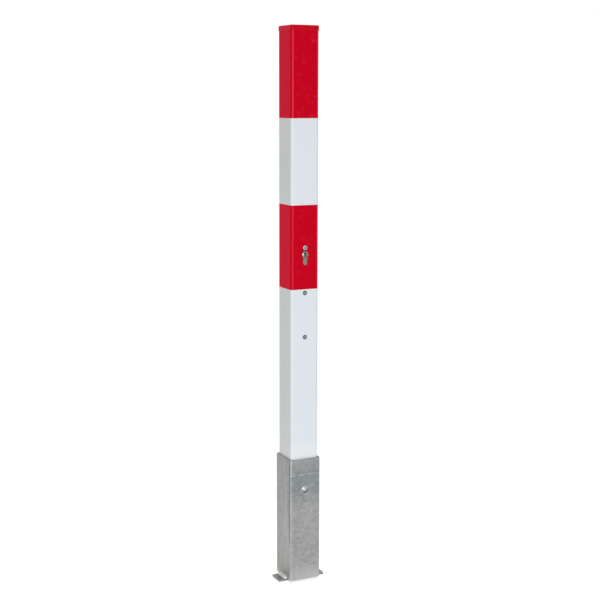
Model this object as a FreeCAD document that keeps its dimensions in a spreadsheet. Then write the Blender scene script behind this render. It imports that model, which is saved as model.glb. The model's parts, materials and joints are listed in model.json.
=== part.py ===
import FreeCAD, Part
import math
import os
import re
import Sketcher

# Removable square barrier post with a keyed lock, standing in its ground sleeve.
# Millimetres. Origin in the middle of the base strap's underside, +Z up,
# lock and bolt on the -Y side. The post is drawn seated in the sleeve with its
# bolt drawn back, so that it is free to be lifted out.

SIZES = {
    # How far a through cut runs past the far face
    "overcut": 1.0,
    # Post
    "post_side": 70.0,
    "post_wall": 3.0,
    "post_corner": 6.0,
    "post_length": 1300.0,
    # End cap
    "cap_head_height": 12.0,
    "cap_overhang": 1.5,
    "cap_edge_radius": 3.0,
    "cap_top_thickness": 3.0,
    "cap_wall": 2.5,
    "cap_skirt_depth": 24.0,
    "cap_skirt_gap": 1.2,
    "cap_rib_gap": 0.2,
    "cap_rib_height": 1.6,
    "cap_rib_start": 3.5,
    "cap_rib_pitch": 7.0,
    "cap_rib_count": 3,
    # Red film bands
    "band_height": 196.5,
    "band_spacing": 395.0,
    "band_thickness": 0.3,
    "band_seam_gap": 1.0,
    "band_seam_offset": 22.0,
    "band_cutout_gap": 0.6,
    # Ground sleeve and strap
    "sleeve_side": 80.0,
    "sleeve_wall": 3.0,
    "sleeve_corner": 6.0,
    "sleeve_length": 300.0,
    "sleeve_bolt_hole": 18.0,
    "strap_length": 120.0,
    "strap_width": 40.0,
    "strap_thickness": 5.0,
    "strap_corner": 1.5,
    "weld_leg": 7.0,
    "weld_length": 37.0,
    "weld_end_radius": 2.5,
    # Lock cylinder
    "lock_below_band_middle": 16.75,
    "cylinder_round": 17.0,
    "cylinder_web": 10.0,
    "cylinder_height": 33.0,
    "cylinder_proud": 2.5,
    "cylinder_front": 30.0,
    "cylinder_rear": 10.0,
    "cylinder_edge": 0.5,
    "cylinder_hole_gap": 0.3,
    "plug_diameter": 13.0,
    "plug_tail_diameter": 9.0,
    "plug_recess": 0.3,
    "plug_gap": 0.06,
    "keyway_width": 2.0,
    "keyway_height": 9.6,
    "keyway_depth": 22.0,
    "keyway_mouth_width": 3.6,
    "keyway_mouth_height": 4.4,
    # Cam
    "cam_space": 10.0,
    "cam_side_gap": 0.4,
    "cam_radius": 15.3,
    "cam_swing_gap": 0.7,
    "cam_finger": 8.0,
    "cam_tip_radius": 1.5,
    "cam_collar": 16.4,
    "cam_rest_angle": 135.0,
    "cam_turn": 105.0,
    # Screw that holds the cylinder
    "holding_screw_thread": 5.0,
    "holding_screw_head": 9.4,
    "holding_screw_head_height": 2.2,
    "holding_screw_hex": 3.0,
    "holding_screw_hex_depth": 2.0,
    "holding_screw_past": 0.5,
    "holding_screw_gap": 0.3,
    # Upper guide of the cam bar
    "guide_sheet": 3.0,
    "guide_bend": 1.0,
    "upper_guide_width": 36.0,
    "upper_guide_bottom": 9.5,
    "upper_guide_top": 33.0,
    "upper_guide_depth": 40.0,
    "upper_screw_height": 16.0,
    "upper_screw_thread": 6.0,
    "upper_screw_head": 11.5,
    "upper_screw_head_height": 3.2,
    "upper_screw_dome": 2.2,
    "upper_screw_hex": 4.0,
    "upper_screw_hex_depth": 2.2,
    "upper_screw_length": 13.0,
    "upper_nut_flats": 10.0,
    "upper_nut_height": 5.0,
    "screw_hole_gap": 0.25,
    # Guides of the rod
    "rod_guide_width": 30.0,
    "rod_guide_height": 30.0,
    "rod_guide_depth": 39.0,
    "rivet_band_gap": 3.25,
    "rivet_spacing": 105.0,
    "rivet_shank": 5.0,
    "rivet_head": 10.5,
    "rivet_head_height": 2.0,
    "rivet_head_chamfer": 1.3,
    "rivet_core": 2.8,
    "rivet_core_depth": 1.1,
    "rivet_bulb": 8.0,
    "rivet_bulb_length": 6.0,
    "rivet_bulb_chamfer": 1.5,
    "bush_diameter": 16.0,
    "bush_flange": 22.0,
    "bush_flange_height": 2.0,
    "bush_below": 2.5,
    "bush_rod_gap": 0.08,
    # Cam bar, rod and slot plate
    "bar_thickness": 3.0,
    "bar_width": 20.0,
    "bar_cylinder_gap": 0.7,
    "bar_above_guide": 30.0,
    "bar_knee_drop": 3.0,
    "bar_joggle_height": 14.0,
    "bar_tongue_length": 20.0,
    "bar_guide_gap": 0.4,
    "window_width_gap": 0.6,
    "window_height_gap": 0.8,
    "rod_diameter": 10.0,
    "rod_lap": 16.0,
    "rod_travel": 24.0,
    "plate_thickness": 5.0,
    "plate_width": 22.0,
    "plate_edge": 8.0,
    "plate_corner": 3.0,
    # Bolt
    "bolt_height": 224.0,
    "bolt_diameter": 14.0,
    "bolt_length": 42.7,
    "bolt_rest_proud": 1.7,
    "bolt_travel": 6.0,
    "bolt_nose_chamfer": 2.5,
    "bolt_centre_hole": 3.2,
    "bolt_centre_depth": 3.0,
    "bolt_slot_gap": 0.3,
    "bolt_slot_end_gap": 0.8,
    "bolt_pin_diameter": 6.0,
    "bolt_pin_from_end": 7.0,
    "pin_slot_gap": 0.3,
    # Bolt bush
    "bolt_bush_diameter": 20.0,
    "bolt_bush_length": 18.0,
    "bolt_bush_shoulder": 26.0,
    "bolt_bush_shoulder_height": 3.0,
    "bolt_bush_gap": 0.08,
    "bolt_bush_weld": 3.0,
}

# Places worked out from the sizes, written as formulas
POST_TOP = "(strap_thickness + post_length)"
LOW_BAND_TOP = "(%s - band_spacing)" % POST_TOP
LOW_BAND_FOOT = "(%s - band_height)" % LOW_BAND_TOP
LOCK_Z = "(%s + band_height/2 - lock_below_band_middle)" % LOW_BAND_FOOT
HIGH_RIVET_Z = "(%s - rivet_band_gap - rivet_head/2)" % LOW_BAND_FOOT
LOW_RIVET_Z = "(%s - rivet_spacing)" % HIGH_RIVET_Z
LOCK_FACE = "(post_side/2 + cylinder_proud)"
CAM_Y = "(%s - cylinder_front)" % LOCK_FACE
WEB_END_Z = "(%s + cylinder_round/2 - cylinder_height + cylinder_web/2)" % LOCK_Z
INNER_FACE = "(post_side/2 - post_wall)"
SHEET_FACE = "(post_side/2 - post_wall - guide_sheet)"
UPPER_SCREW_Z = "(%s + upper_screw_height)" % LOCK_Z
BOLT_Z = "(strap_thickness + bolt_height)"
BAR_FACE = "(cylinder_round/2 + bar_cylinder_gap)"
BAR_BACK = "(%s + bar_thickness)" % BAR_FACE
KNEE_Z = "(%s + cylinder_round/2 - cylinder_height - bar_knee_drop)" % LOCK_Z
ROD_TOP = "(%s - bar_joggle_height - bar_tongue_length + rod_lap)" % KNEE_Z
BAR_TOP = "(%s + upper_guide_top + bar_above_guide)" % LOCK_Z
BOLT_TIP = "(post_side/2 + bolt_rest_proud)"
BOLT_END = "(%s - bolt_length)" % BOLT_TIP
PIN_Y = "(%s + bolt_pin_from_end)" % BOLT_END
PIN_SLOT_HALF = "(bolt_pin_diameter/2 + pin_slot_gap)"
PLATE_Y = "(%s + bolt_travel/2)" % PIN_Y
PLATE_FRONT = "(%s + plate_width/2)" % PLATE_Y
PLATE_TOP = "(%s + rod_travel + %s + plate_edge)" % (BOLT_Z, PIN_SLOT_HALF)
PLATE_BOTTOM = "(%s - %s - plate_edge)" % (BOLT_Z, PIN_SLOT_HALF)

WORD = r"[a-z]+(?:_[a-z]+)*"

doc = FreeCAD.newDocument("removable_barrier_post")
sheet = doc.addObject("Spreadsheet::Sheet", "Sizes")
pieces = []


def fill_sheet():
    """Write every driving size to the sheet under its own name."""
    for row, (name, value) in enumerate(SIZES.items(), start=1):
        sheet.set("A%d" % row, name)
        sheet.set("B%d" % row, str(value))
        sheet.setAlias("B%d" % row, name)
    doc.recompute()


def size(name):
    """Value of one size, read back from the sheet."""
    return float(sheet.get(name))


def bound(formula):
    """The formula with each size's name pointed at the sheet."""
    def point_at_sheet(match):
        word = match.group(0)
        return "Sizes." + word if word in SIZES else word
    return re.sub(WORD, point_at_sheet, formula)


def number(formula):
    """What a formula comes to with the sheet's present sizes. Angles are marked 1deg."""
    def read_from_sheet(match):
        word = match.group(0)
        return str(size(word)) if word in SIZES else word
    filled = re.sub(WORD, read_from_sheet, formula.replace("1deg", "pi/180"))
    return FreeCAD.Units.Quantity(filled).Value


def new_body(name):
    """An empty body that becomes the node of the same name."""
    body = doc.addObject("PartDesign::Body", name)
    body.Label = name
    pieces.append(body)
    return body


def new_sketch(body, name, role, offset="0"):
    """A sketch on one of the body's origin planes, moved along the plane's normal."""
    sketch = body.newObject("Sketcher::SketchObject", body.Name + "_" + name)
    base = next(item for item in body.Origin.OriginFeatures if item.Role == role)
    sketch.AttachmentSupport = [(base, "")]
    sketch.MapMode = "FlatFace"
    sketch.setExpression("AttachmentOffset.Base.z", bound(offset))
    return sketch


def joined(geometry, end, other, other_end):
    """Rule that two ends in a sketch meet."""
    return Sketcher.Constraint("Coincident", geometry, end, other, other_end), None


def placed(geometry, end, kind, formula):
    """Rule that holds one coordinate of a point in a sketch by a formula."""
    return Sketcher.Constraint(kind, geometry, end, number(formula)), formula


def placed_both(geometry, end, across, along):
    """Rules that hold both coordinates of a point in a sketch."""
    return [placed(geometry, end, "DistanceX", across), placed(geometry, end, "DistanceY", along)]


def hold(sketch, rules):
    """Add the rules all at once and bind each one that has a formula to the sheet."""
    first = sketch.ConstraintCount
    sketch.addConstraint([rule for rule, _ in rules])
    for index, (_, formula) in enumerate(rules, start=first):
        if formula is not None:
            sketch.setExpression("Constraints[%d]" % index, bound(formula))


def draw_outline(sketch, points):
    """A closed outline of straight edges through the points."""
    count = len(points)
    first = sketch.GeometryCount
    corners = [FreeCAD.Vector(number(across), number(along), 0) for across, along in points]
    rules = []
    for step, (across, along) in enumerate(points):
        after = (step + 1) % count
        sketch.addGeometry(Part.LineSegment(corners[step], corners[after]))
        rules.append(joined(first + step, 2, first + after, 1))
        rules += placed_both(first + step, 1, across, along)
    hold(sketch, rules)


def draw_box(sketch, left, right, bottom, top):
    """A rectangle between two limits each way."""
    draw_outline(sketch, [(left, bottom), (right, bottom), (right, top), (left, top)])


def draw_circle(sketch, across, along, diameter):
    """A circle of the given diameter about a centre."""
    centre = FreeCAD.Vector(number(across), number(along), 0)
    width = number(diameter)
    index = sketch.addGeometry(Part.Circle(centre, FreeCAD.Vector(0, 0, 1), width / 2))
    rules = placed_both(index, 3, across, along)
    rules.append((Sketcher.Constraint("Diameter", index, width), diameter))
    hold(sketch, rules)


def draw_axis(sketch, start, end):
    """A construction line to revolve the sketch about."""
    places = [FreeCAD.Vector(number(across), number(along), 0) for across, along in (start, end)]
    index = sketch.addGeometry(Part.LineSegment(places[0], places[1]), True)
    hold(sketch, placed_both(index, 1, *start) + placed_both(index, 2, *end))


def extrude(body, kind, sketch, length, both_ways, backwards):
    """Pad or pocket a sketch, and stop if the solid's volume did not change as it should."""
    before = body.Shape.Volume if body.Tip else 0.0
    feature = body.newObject("PartDesign::" + kind, sketch.Name + "_" + kind.lower())
    feature.Profile = sketch
    feature.SideType = "Symmetric" if both_ways else "One side"
    feature.Reversed = backwards
    feature.setExpression("Length", bound(length))
    doc.recompute()
    change = feature.Shape.Volume - before
    if (change <= 0) == (kind == "Pad"):
        raise RuntimeError(feature.Name + " changes the volume by %.3f" % change)
    return feature


def pad(body, sketch, length, both_ways=False, backwards=False):
    return extrude(body, "Pad", sketch, length, both_ways, backwards)


def pocket(body, sketch, length, both_ways=False, backwards=False):
    return extrude(body, "Pocket", sketch, length, both_ways, backwards)


def spin(body, sketch):
    """Revolve a sketch a full turn about its own construction line."""
    feature = body.newObject("PartDesign::Revolution", sketch.Name + "_turned")
    feature.Profile = sketch
    feature.ReferenceAxis = (sketch, ["Axis0"])
    feature.Angle = 360.0
    doc.recompute()
    return feature


def edge_names(feature, chosen):
    """Names of the feature's edges that pass the test."""
    edges = enumerate(feature.Shape.Edges, start=1)
    return ["Edge%d" % number for number, edge in edges if chosen(edge)]


def dress(body, kind, feature, chosen, width):
    """Fillet or chamfer the chosen edges by a formula."""
    dressed = body.newObject("PartDesign::" + kind, feature.Name + "_" + kind.lower())
    dressed.Base = (feature, edge_names(feature, chosen))
    dressed.setExpression("Radius" if kind == "Fillet" else "Size", bound(width))
    doc.recompute()
    return dressed


def runs_along(edge, axis):
    """True for a straight edge along X (0), Y (1) or Z (2)."""
    if edge.Curve.TypeId != "Part::GeomLine":
        return False
    direction = edge.Curve.Direction
    return abs(abs(direction[axis]) - 1.0) < 1e-6


def edge_through(across, along):
    """Test for the straight edge along X through one point of a YZ section."""
    place = FreeCAD.Vector(0, number(across), number(along))

    def chosen(edge):
        return runs_along(edge, 0) and (edge.CenterOfMass - place).Length < 1e-3
    return chosen


def edges_at(axis, formula):
    """Test for the edges that lie wholly in one plane across an axis."""
    place = number(formula)

    def chosen(edge):
        box = edge.BoundBox
        low = (box.XMin, box.YMin, box.ZMin)[axis]
        high = (box.XMax, box.YMax, box.ZMax)[axis]
        return abs(low - place) < 1e-3 and abs(high - place) < 1e-3
    return chosen


def quarter_turned(across, along, quarter):
    """A point's two formulas after so many quarter turns about the origin."""
    for _ in range(quarter):
        across, along = "-(%s)" % along, across
    return across, along


def draw_rounded_square(sketch, half, radius):
    """A square about the origin, by its half side, with rounded corners.

    Each corner's arc has its centre fixed and starts at the end of one side. The
    next side starts where the arc ends, straight above or beside the centre.
    """
    first = sketch.GeometryCount
    up = FreeCAD.Vector(0, 0, 1)
    straight = "(%s - %s)" % (half, radius)
    far, near, bend = number(half), number(straight), number(radius)
    turns = [FreeCAD.Rotation(up, 90 * quarter) for quarter in range(4)]
    for turn in turns:
        ends = [turn.multVec(FreeCAD.Vector(far, along, 0)) for along in (-near, near)]
        sketch.addGeometry(Part.LineSegment(ends[0], ends[1]))
    for quarter, turn in enumerate(turns):
        circle = Part.Circle(turn.multVec(FreeCAD.Vector(near, near, 0)), up, bend)
        start = quarter * math.pi / 2
        sketch.addGeometry(Part.ArcOfCircle(circle, start, start + math.pi / 2))
    rules = []
    for quarter in range(4):
        line, arc, after = first + quarter, first + 4 + quarter, first + (quarter + 1) % 4
        rules += [joined(line, 2, arc, 1), joined(arc, 2, after, 1)]
        rules += placed_both(arc, 3, *quarter_turned(straight, straight, quarter))
        rules += placed_both(line, 2, *quarter_turned(half, straight, quarter))
        side_start = quarter_turned(half, "-" + straight, quarter)
        kind = ("DistanceY", "DistanceX")[quarter % 2]
        rules.append(placed(line, 1, kind, side_start[1 - quarter % 2]))
    hold(sketch, rules)


def square_tube(body, half, wall, corner, foot, length, backwards=False):
    """Square hollow section with rounded corners, from its foot upwards or downwards."""
    section = new_sketch(body, "section", "XY_Plane", foot)
    draw_rounded_square(section, half, corner)
    draw_rounded_square(section, "(%s - %s)" % (half, wall), "(%s - %s)" % (corner, wall))
    return pad(body, section, length, backwards=backwards)


def square_block(body, name, half, corner, foot, length, backwards=False):
    """Square block with rounded corners, from its foot upwards or downwards."""
    section = new_sketch(body, name, "XY_Plane", foot)
    draw_rounded_square(section, half, corner)
    return pad(body, section, length, backwards=backwards)


def cut_round(body, name, role, face, across, along, diameter, depth, backwards=False):
    """A round hole from a face into the solid."""
    hole = new_sketch(body, name, role, face)
    draw_circle(hole, across, along, diameter)
    return pocket(body, hole, depth, backwards=backwards)


def cut_lock_opening(body, face, gap, depth):
    """The opening for the lock cylinder, with the same gap all round."""
    cut_round(body, "lock_round", "XZ_Plane", face, "0", LOCK_Z,
              "cylinder_round + 2*" + gap, depth)
    web = new_sketch(body, "lock_web", "XZ_Plane", face)
    half = "(cylinder_web/2 + %s)" % gap
    draw_box(web, "-" + half, half, WEB_END_Z, LOCK_Z)
    pocket(body, web, depth)
    return cut_round(body, "lock_end", "XZ_Plane", face, "0", WEB_END_Z,
                     "cylinder_web + 2*" + gap, depth)


def make_ground_sleeve():
    body = new_body("ground_sleeve")
    square_tube(body, "sleeve_side/2", "sleeve_wall", "sleeve_corner",
                "strap_thickness", "sleeve_length")
    cut_round(body, "bolt_hole", "XZ_Plane", "sleeve_side/2", "0", BOLT_Z,
              "sleeve_bolt_hole", "sleeve_side/2")


def make_base_strap():
    body = new_body("base_strap")
    plan = new_sketch(body, "plan", "XY_Plane")
    draw_box(plan, "-strap_length/2", "strap_length/2", "-strap_width/2", "strap_width/2")
    bar = pad(body, plan, "strap_thickness")

    def upright(edge):
        return runs_along(edge, 2)
    dress(body, "Fillet", bar, upright, "strap_corner")


def make_weld(name, side):
    """Fillet weld between a side of the sleeve and the top of the strap."""
    body = new_body(name)
    section = new_sketch(body, "section", "XZ_Plane")
    wall = side + "sleeve_side/2"
    toe = "%s(sleeve_side/2 + weld_leg)" % side
    draw_outline(section, [(wall, "strap_thickness"), (toe, "strap_thickness"),
                           (wall, "strap_thickness + weld_leg")])
    bead = pad(body, section, "weld_length", both_ways=True)

    def sloping_end(edge):
        box = edge.BoundBox
        return box.YLength < 1e-3 < min(box.XLength, box.ZLength)
    dress(body, "Fillet", bead, sloping_end, "weld_end_radius")


def make_post_tube():
    body = new_body("post_tube")
    square_tube(body, "post_side/2", "post_wall", "post_corner", "strap_thickness", "post_length")
    front = "post_side/2"
    cut_lock_opening(body, front, "cylinder_hole_gap", front)
    cut_round(body, "upper_screw", "XZ_Plane", front, "0", UPPER_SCREW_Z,
              "upper_screw_thread + 2*screw_hole_gap", front)
    for name, height in (("high_rivet", HIGH_RIVET_Z), ("low_rivet", LOW_RIVET_Z)):
        cut_round(body, name, "XZ_Plane", front, "0", height, "rivet_shank", front)
    cut_round(body, "bolt", "XZ_Plane", front, "0", BOLT_Z, "bolt_bush_diameter", front)
    cut_round(body, "holding_screw", "YZ_Plane", front, "-" + CAM_Y, WEB_END_Z,
              "holding_screw_head + 2*holding_screw_gap", front)


def make_end_cap():
    """Moulded cap: head, hollow skirt inside the tube, and sealing ribs."""
    body = new_body("end_cap")
    head = square_block(body, "head", "(post_side/2 + cap_overhang)", "(post_corner + cap_overhang)",
                        POST_TOP, "cap_head_height")
    dress(body, "Fillet", head, edges_at(2, POST_TOP + " + cap_head_height"), "cap_edge_radius")
    skirt = "(%s - cap_skirt_gap)" % INNER_FACE
    corner = "(post_corner - post_wall)"
    square_block(body, "skirt", skirt, corner, POST_TOP, "cap_skirt_depth", backwards=True)
    rib = square_block(body, "rib", "(%s - cap_rib_gap)" % INNER_FACE, corner,
                       POST_TOP + " - cap_rib_start", "cap_rib_height", backwards=True)
    ribs = body.newObject("PartDesign::LinearPattern", "end_cap_ribs")
    ribs.Originals = [rib]
    ribs.Direction = (rib.Profile[0], ["N_Axis"])
    ribs.Reversed = True
    ribs.setExpression("Length", bound("(cap_rib_count - 1)*cap_rib_pitch"))
    ribs.setExpression("Occurrences", bound("cap_rib_count"))
    body.Tip = ribs
    doc.recompute()
    hollow = new_sketch(body, "hollow", "XY_Plane", POST_TOP + " - cap_skirt_depth")
    half = "(%s - cap_skirt_gap - cap_wall)" % INNER_FACE
    draw_box(hollow, "-" + half, half, "-" + half, half)
    pocket(body, hollow, "cap_skirt_depth + cap_head_height - cap_top_thickness", backwards=True)


def make_band(name, top, with_lock):
    """Adhesive red film wrapped once round the post, butt-jointed at the back."""
    body = new_body(name)
    outer_half = "(post_side/2 + band_thickness)"
    square_tube(body, outer_half, "band_thickness", "(post_corner + band_thickness)",
                top, "band_height", backwards=True)
    seam = new_sketch(body, "seam", "XY_Plane", top)
    draw_box(seam, "band_seam_offset - band_seam_gap/2", "band_seam_offset + band_seam_gap/2",
             "0", "post_side")
    pocket(body, seam, "band_height + overcut")
    if with_lock:
        cut_lock_opening(body, outer_half, "band_cutout_gap", outer_half)
        cut_round(body, "upper_screw", "XZ_Plane", outer_half, "0", UPPER_SCREW_Z,
                  "upper_screw_head + 2*band_cutout_gap", outer_half)
        cut_round(body, "holding_screw", "YZ_Plane", outer_half, "-" + CAM_Y, WEB_END_Z,
                  "holding_screw_head + 2*band_cutout_gap", outer_half)


def make_cylinder_body():
    """Half profile cylinder: round barrel on a narrow web, open where the cam turns."""
    body = new_body("cylinder_body")
    length = "cylinder_front + cylinder_rear"
    barrel = new_sketch(body, "barrel", "XZ_Plane", LOCK_FACE)
    draw_circle(barrel, "0", LOCK_Z, "cylinder_round")
    pad(body, barrel, length, backwards=True)
    web = new_sketch(body, "web", "XZ_Plane", LOCK_FACE)
    draw_box(web, "-cylinder_web/2", "cylinder_web/2", WEB_END_Z, LOCK_Z)
    pad(body, web, length, backwards=True)
    end = new_sketch(body, "end", "XZ_Plane", LOCK_FACE)
    draw_circle(end, "0", WEB_END_Z, "cylinder_web")
    solid = pad(body, end, length, backwards=True)
    dress(body, "Chamfer", solid, edges_at(1, "-" + LOCK_FACE), "cylinder_edge")
    slot = new_sketch(body, "cam_space", "YZ_Plane")
    draw_box(slot, "-%s - cam_space/2" % CAM_Y, "-%s + cam_space/2" % CAM_Y,
             "%s - cam_radius - cam_swing_gap" % LOCK_Z, "%s + cylinder_round" % LOCK_Z)
    pocket(body, slot, "cylinder_round + 2*overcut", both_ways=True)
    cut_round(body, "bore", "XZ_Plane", LOCK_FACE, "0", LOCK_Z,
              "plug_diameter + 2*plug_gap", "cylinder_front - cam_space/2")
    cut_round(body, "tail_bore", "XZ_Plane", CAM_Y, "0", LOCK_Z,
              "plug_tail_diameter + 2*plug_gap", "cylinder_rear")
    cut_round(body, "screw_hole", "YZ_Plane", "cylinder_web/2", "-" + CAM_Y, WEB_END_Z,
              "holding_screw_thread", "cylinder_web")


def make_cylinder_plug():
    """The part of the lock that the key turns, with its keyway."""
    body = new_body("cylinder_plug")
    front = new_sketch(body, "front", "XZ_Plane", LOCK_FACE + " - plug_recess")
    draw_circle(front, "0", LOCK_Z, "plug_diameter")
    pad(body, front, "cylinder_front - cam_space/2 - plug_recess", backwards=True)
    tail = new_sketch(body, "tail", "XZ_Plane", CAM_Y + " + cam_space/2")
    draw_circle(tail, "0", LOCK_Z, "plug_tail_diameter")
    pad(body, tail, "cam_space/2 + cylinder_rear", backwards=True)
    slot = new_sketch(body, "keyway", "XZ_Plane", LOCK_FACE + " - plug_recess")
    draw_box(slot, "-keyway_width/2", "keyway_width/2",
             LOCK_Z + " - keyway_height/2", LOCK_Z + " + keyway_height/2")
    pocket(body, slot, "keyway_depth")
    mouth = new_sketch(body, "keyway_mouth", "XZ_Plane", LOCK_FACE + " - plug_recess")
    draw_box(mouth, "keyway_width/2 - keyway_mouth_width", "keyway_width/2",
             LOCK_Z + " + keyway_height/2 - keyway_mouth_height", LOCK_Z + " + keyway_height/2")
    pocket(body, mouth, "keyway_depth")


def make_cylinder_cam():
    """Cam ring with one finger, fixed on the plug's tail. Drawn at its rest angle."""
    body = new_body("cylinder_cam")
    behind = CAM_Y + " - cam_space/2 + cam_side_gap"
    width = "cam_space - 2*cam_side_gap"
    ring = new_sketch(body, "ring", "XZ_Plane", behind)
    draw_circle(ring, "0", LOCK_Z, "cam_collar")
    pad(body, ring, width)
    along_x = "-sin(cam_rest_angle*1deg)"
    along_z = "-cos(cam_rest_angle*1deg)"
    side_x = "cam_finger/2*cos(cam_rest_angle*1deg)"
    side_z = "cam_finger/2*sin(cam_rest_angle*1deg)"
    root_a = ("-(%s)" % side_x, "%s + %s" % (LOCK_Z, side_z))
    root_b = (side_x, "%s - %s" % (LOCK_Z, side_z))
    tip_b = ("cam_radius*(%s) + %s" % (along_x, side_x),
             "%s + cam_radius*(%s) - %s" % (LOCK_Z, along_z, side_z))
    tip_a = ("cam_radius*(%s) - %s" % (along_x, side_x),
             "%s + cam_radius*(%s) + %s" % (LOCK_Z, along_z, side_z))
    finger = new_sketch(body, "finger", "XZ_Plane", behind)
    draw_outline(finger, [root_a, tip_a, tip_b, root_b])
    solid = pad(body, finger, width)
    reach = number("sqrt(cam_radius^2 + (cam_finger/2)^2)")
    lock_z = number(LOCK_Z)

    def at_tip(edge):
        middle = edge.CenterOfMass
        return runs_along(edge, 1) and abs(math.hypot(middle.x, middle.z - lock_z) - reach) < 1e-3
    dress(body, "Fillet", solid, at_tip, "cam_tip_radius")
    cut_round(body, "bore", "XZ_Plane", CAM_Y + " + cam_space/2", "0", LOCK_Z,
              "plug_tail_diameter", "cam_space")


def make_holding_screw():
    """Countersunk screw from the side of the post into the cylinder's web."""
    body = new_body("holding_screw")
    side = "post_side/2"
    end = "(-cylinder_web/2 + holding_screw_past)"
    head_half = "holding_screw_head/2"
    thread_half = "holding_screw_thread/2"
    profile = new_sketch(body, "profile", "XZ_Plane", CAM_Y)
    neck = "(%s - holding_screw_head_height)" % side
    draw_outline(profile, [(end, WEB_END_Z), (side, WEB_END_Z),
                           (side, "%s + %s" % (WEB_END_Z, head_half)),
                           (neck, "%s + %s" % (WEB_END_Z, thread_half)),
                           (end, "%s + %s" % (WEB_END_Z, thread_half))])
    draw_axis(profile, (end, WEB_END_Z), (side, WEB_END_Z))
    spin(body, profile)
    socket = new_sketch(body, "socket", "YZ_Plane", side)
    draw_hexagon(socket, "-" + CAM_Y, WEB_END_Z, "holding_screw_hex")
    pocket(body, socket, "holding_screw_hex_depth")


def draw_hexagon(sketch, across, along, flats):
    """A hexagon with two flats upright, by its width across flats."""
    half = "%s/2" % flats
    corner = "%s/sqrt(3)" % flats
    points = [(half, "-%s/2" % corner), (half, "%s/2" % corner), ("0", corner),
              ("-" + half, "%s/2" % corner), ("-" + half, "-%s/2" % corner), ("0", "-" + corner)]
    draw_outline(sketch, [("%s + %s" % (across, x), "%s + %s" % (along, z)) for x, z in points])


def folded_guide(body, width, low, high, shelf_at_top, depth):
    """Sheet folded to an L: a foot on the tube's front wall and a shelf into the tube."""
    foot_in = "-" + INNER_FACE
    foot_out = "-" + SHEET_FACE
    back = "(-%s + %s)" % (INNER_FACE, depth)
    shelf, under, far = (high, "(%s - guide_sheet)" % high, low)
    if not shelf_at_top:
        shelf, under, far = (low, "(%s + guide_sheet)" % low, high)
    section = new_sketch(body, "section", "YZ_Plane")
    draw_outline(section, [(foot_in, shelf), (back, shelf), (back, under),
                           (foot_out, under), (foot_out, far), (foot_in, far)])
    flat = pad(body, section, width, both_ways=True)
    bent = dress(body, "Fillet", flat, edge_through(foot_out, under), "guide_bend")
    dress(body, "Fillet", bent, edge_through(foot_in, shelf), "guide_bend + guide_sheet")


def make_upper_guide():
    """Folded guide above the lock that holds the cam bar upright."""
    body = new_body("upper_guide")
    high = "(%s + upper_guide_top)" % LOCK_Z
    folded_guide(body, "upper_guide_width", "(%s + upper_guide_bottom)" % LOCK_Z, high,
                 True, "upper_guide_depth")
    slot = new_sketch(body, "bar_slot", "XY_Plane", high)
    draw_box(slot, "-%s - bar_guide_gap" % BAR_BACK, "-%s + bar_guide_gap" % BAR_FACE,
             "-%s - bar_width/2 - bar_guide_gap" % CAM_Y,
             "-%s + bar_width/2 + bar_guide_gap" % CAM_Y)
    pocket(body, slot, "guide_sheet + overcut")
    cut_round(body, "screw_hole", "XZ_Plane", INNER_FACE, "0", UPPER_SCREW_Z,
              "upper_screw_thread + 2*screw_hole_gap", "guide_sheet + overcut")


def make_upper_screw():
    """Domed socket screw on the front of the post above the lock."""
    body = new_body("upper_screw")
    top = "(post_side/2 + upper_screw_head_height)"
    head = new_sketch(body, "head", "XZ_Plane", "post_side/2")
    draw_circle(head, "0", UPPER_SCREW_Z, "upper_screw_head")
    solid = pad(body, head, "upper_screw_head_height")
    dress(body, "Fillet", solid, edges_at(1, "-" + top), "upper_screw_dome")
    shank = new_sketch(body, "shank", "XZ_Plane", "post_side/2")
    draw_circle(shank, "0", UPPER_SCREW_Z, "upper_screw_thread")
    pad(body, shank, "upper_screw_length", backwards=True)
    socket = new_sketch(body, "socket", "XZ_Plane", top)
    draw_hexagon(socket, "0", UPPER_SCREW_Z, "upper_screw_hex")
    pocket(body, socket, "upper_screw_hex_depth")


def make_upper_nut():
    body = new_body("upper_nut")
    outside = new_sketch(body, "outside", "XZ_Plane", SHEET_FACE)
    draw_hexagon(outside, "0", UPPER_SCREW_Z, "upper_nut_flats")
    pad(body, outside, "upper_nut_height", backwards=True)
    cut_round(body, "thread", "XZ_Plane", SHEET_FACE, "0", UPPER_SCREW_Z,
              "upper_screw_thread", "upper_nut_height")


def make_rod_guide(name, middle):
    """Folded guide with a bush for the rod, riveted to the front wall at its middle height."""
    body = new_body(name)
    folded_guide(body, "rod_guide_width", "(%s - rod_guide_height/2)" % middle,
                 "(%s + rod_guide_height/2)" % middle, False, "rod_guide_depth")
    cut_round(body, "bush_hole", "XY_Plane", "(%s - rod_guide_height/2)" % middle,
              "0", "-" + CAM_Y, "bush_diameter", "guide_sheet + overcut", backwards=True)
    cut_round(body, "rivet_hole", "XZ_Plane", INNER_FACE, "0", middle,
              "rivet_shank", "guide_sheet + overcut")


def make_rod_bush(name, guide_middle):
    """Plastic collar bush that the rod slides in."""
    body = new_body(name)
    shelf = "(%s - rod_guide_height/2 + guide_sheet)" % guide_middle
    flange = new_sketch(body, "flange", "XY_Plane", shelf)
    draw_circle(flange, "0", "-" + CAM_Y, "bush_flange")
    pad(body, flange, "bush_flange_height")
    neck = new_sketch(body, "neck", "XY_Plane", shelf)
    draw_circle(neck, "0", "-" + CAM_Y, "bush_diameter")
    pad(body, neck, "guide_sheet + bush_below", backwards=True)
    cut_round(body, "bore", "XY_Plane", shelf + " + bush_flange_height", "0", "-" + CAM_Y,
              "rod_diameter + 2*bush_rod_gap", "bush_flange_height + guide_sheet + bush_below")


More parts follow.
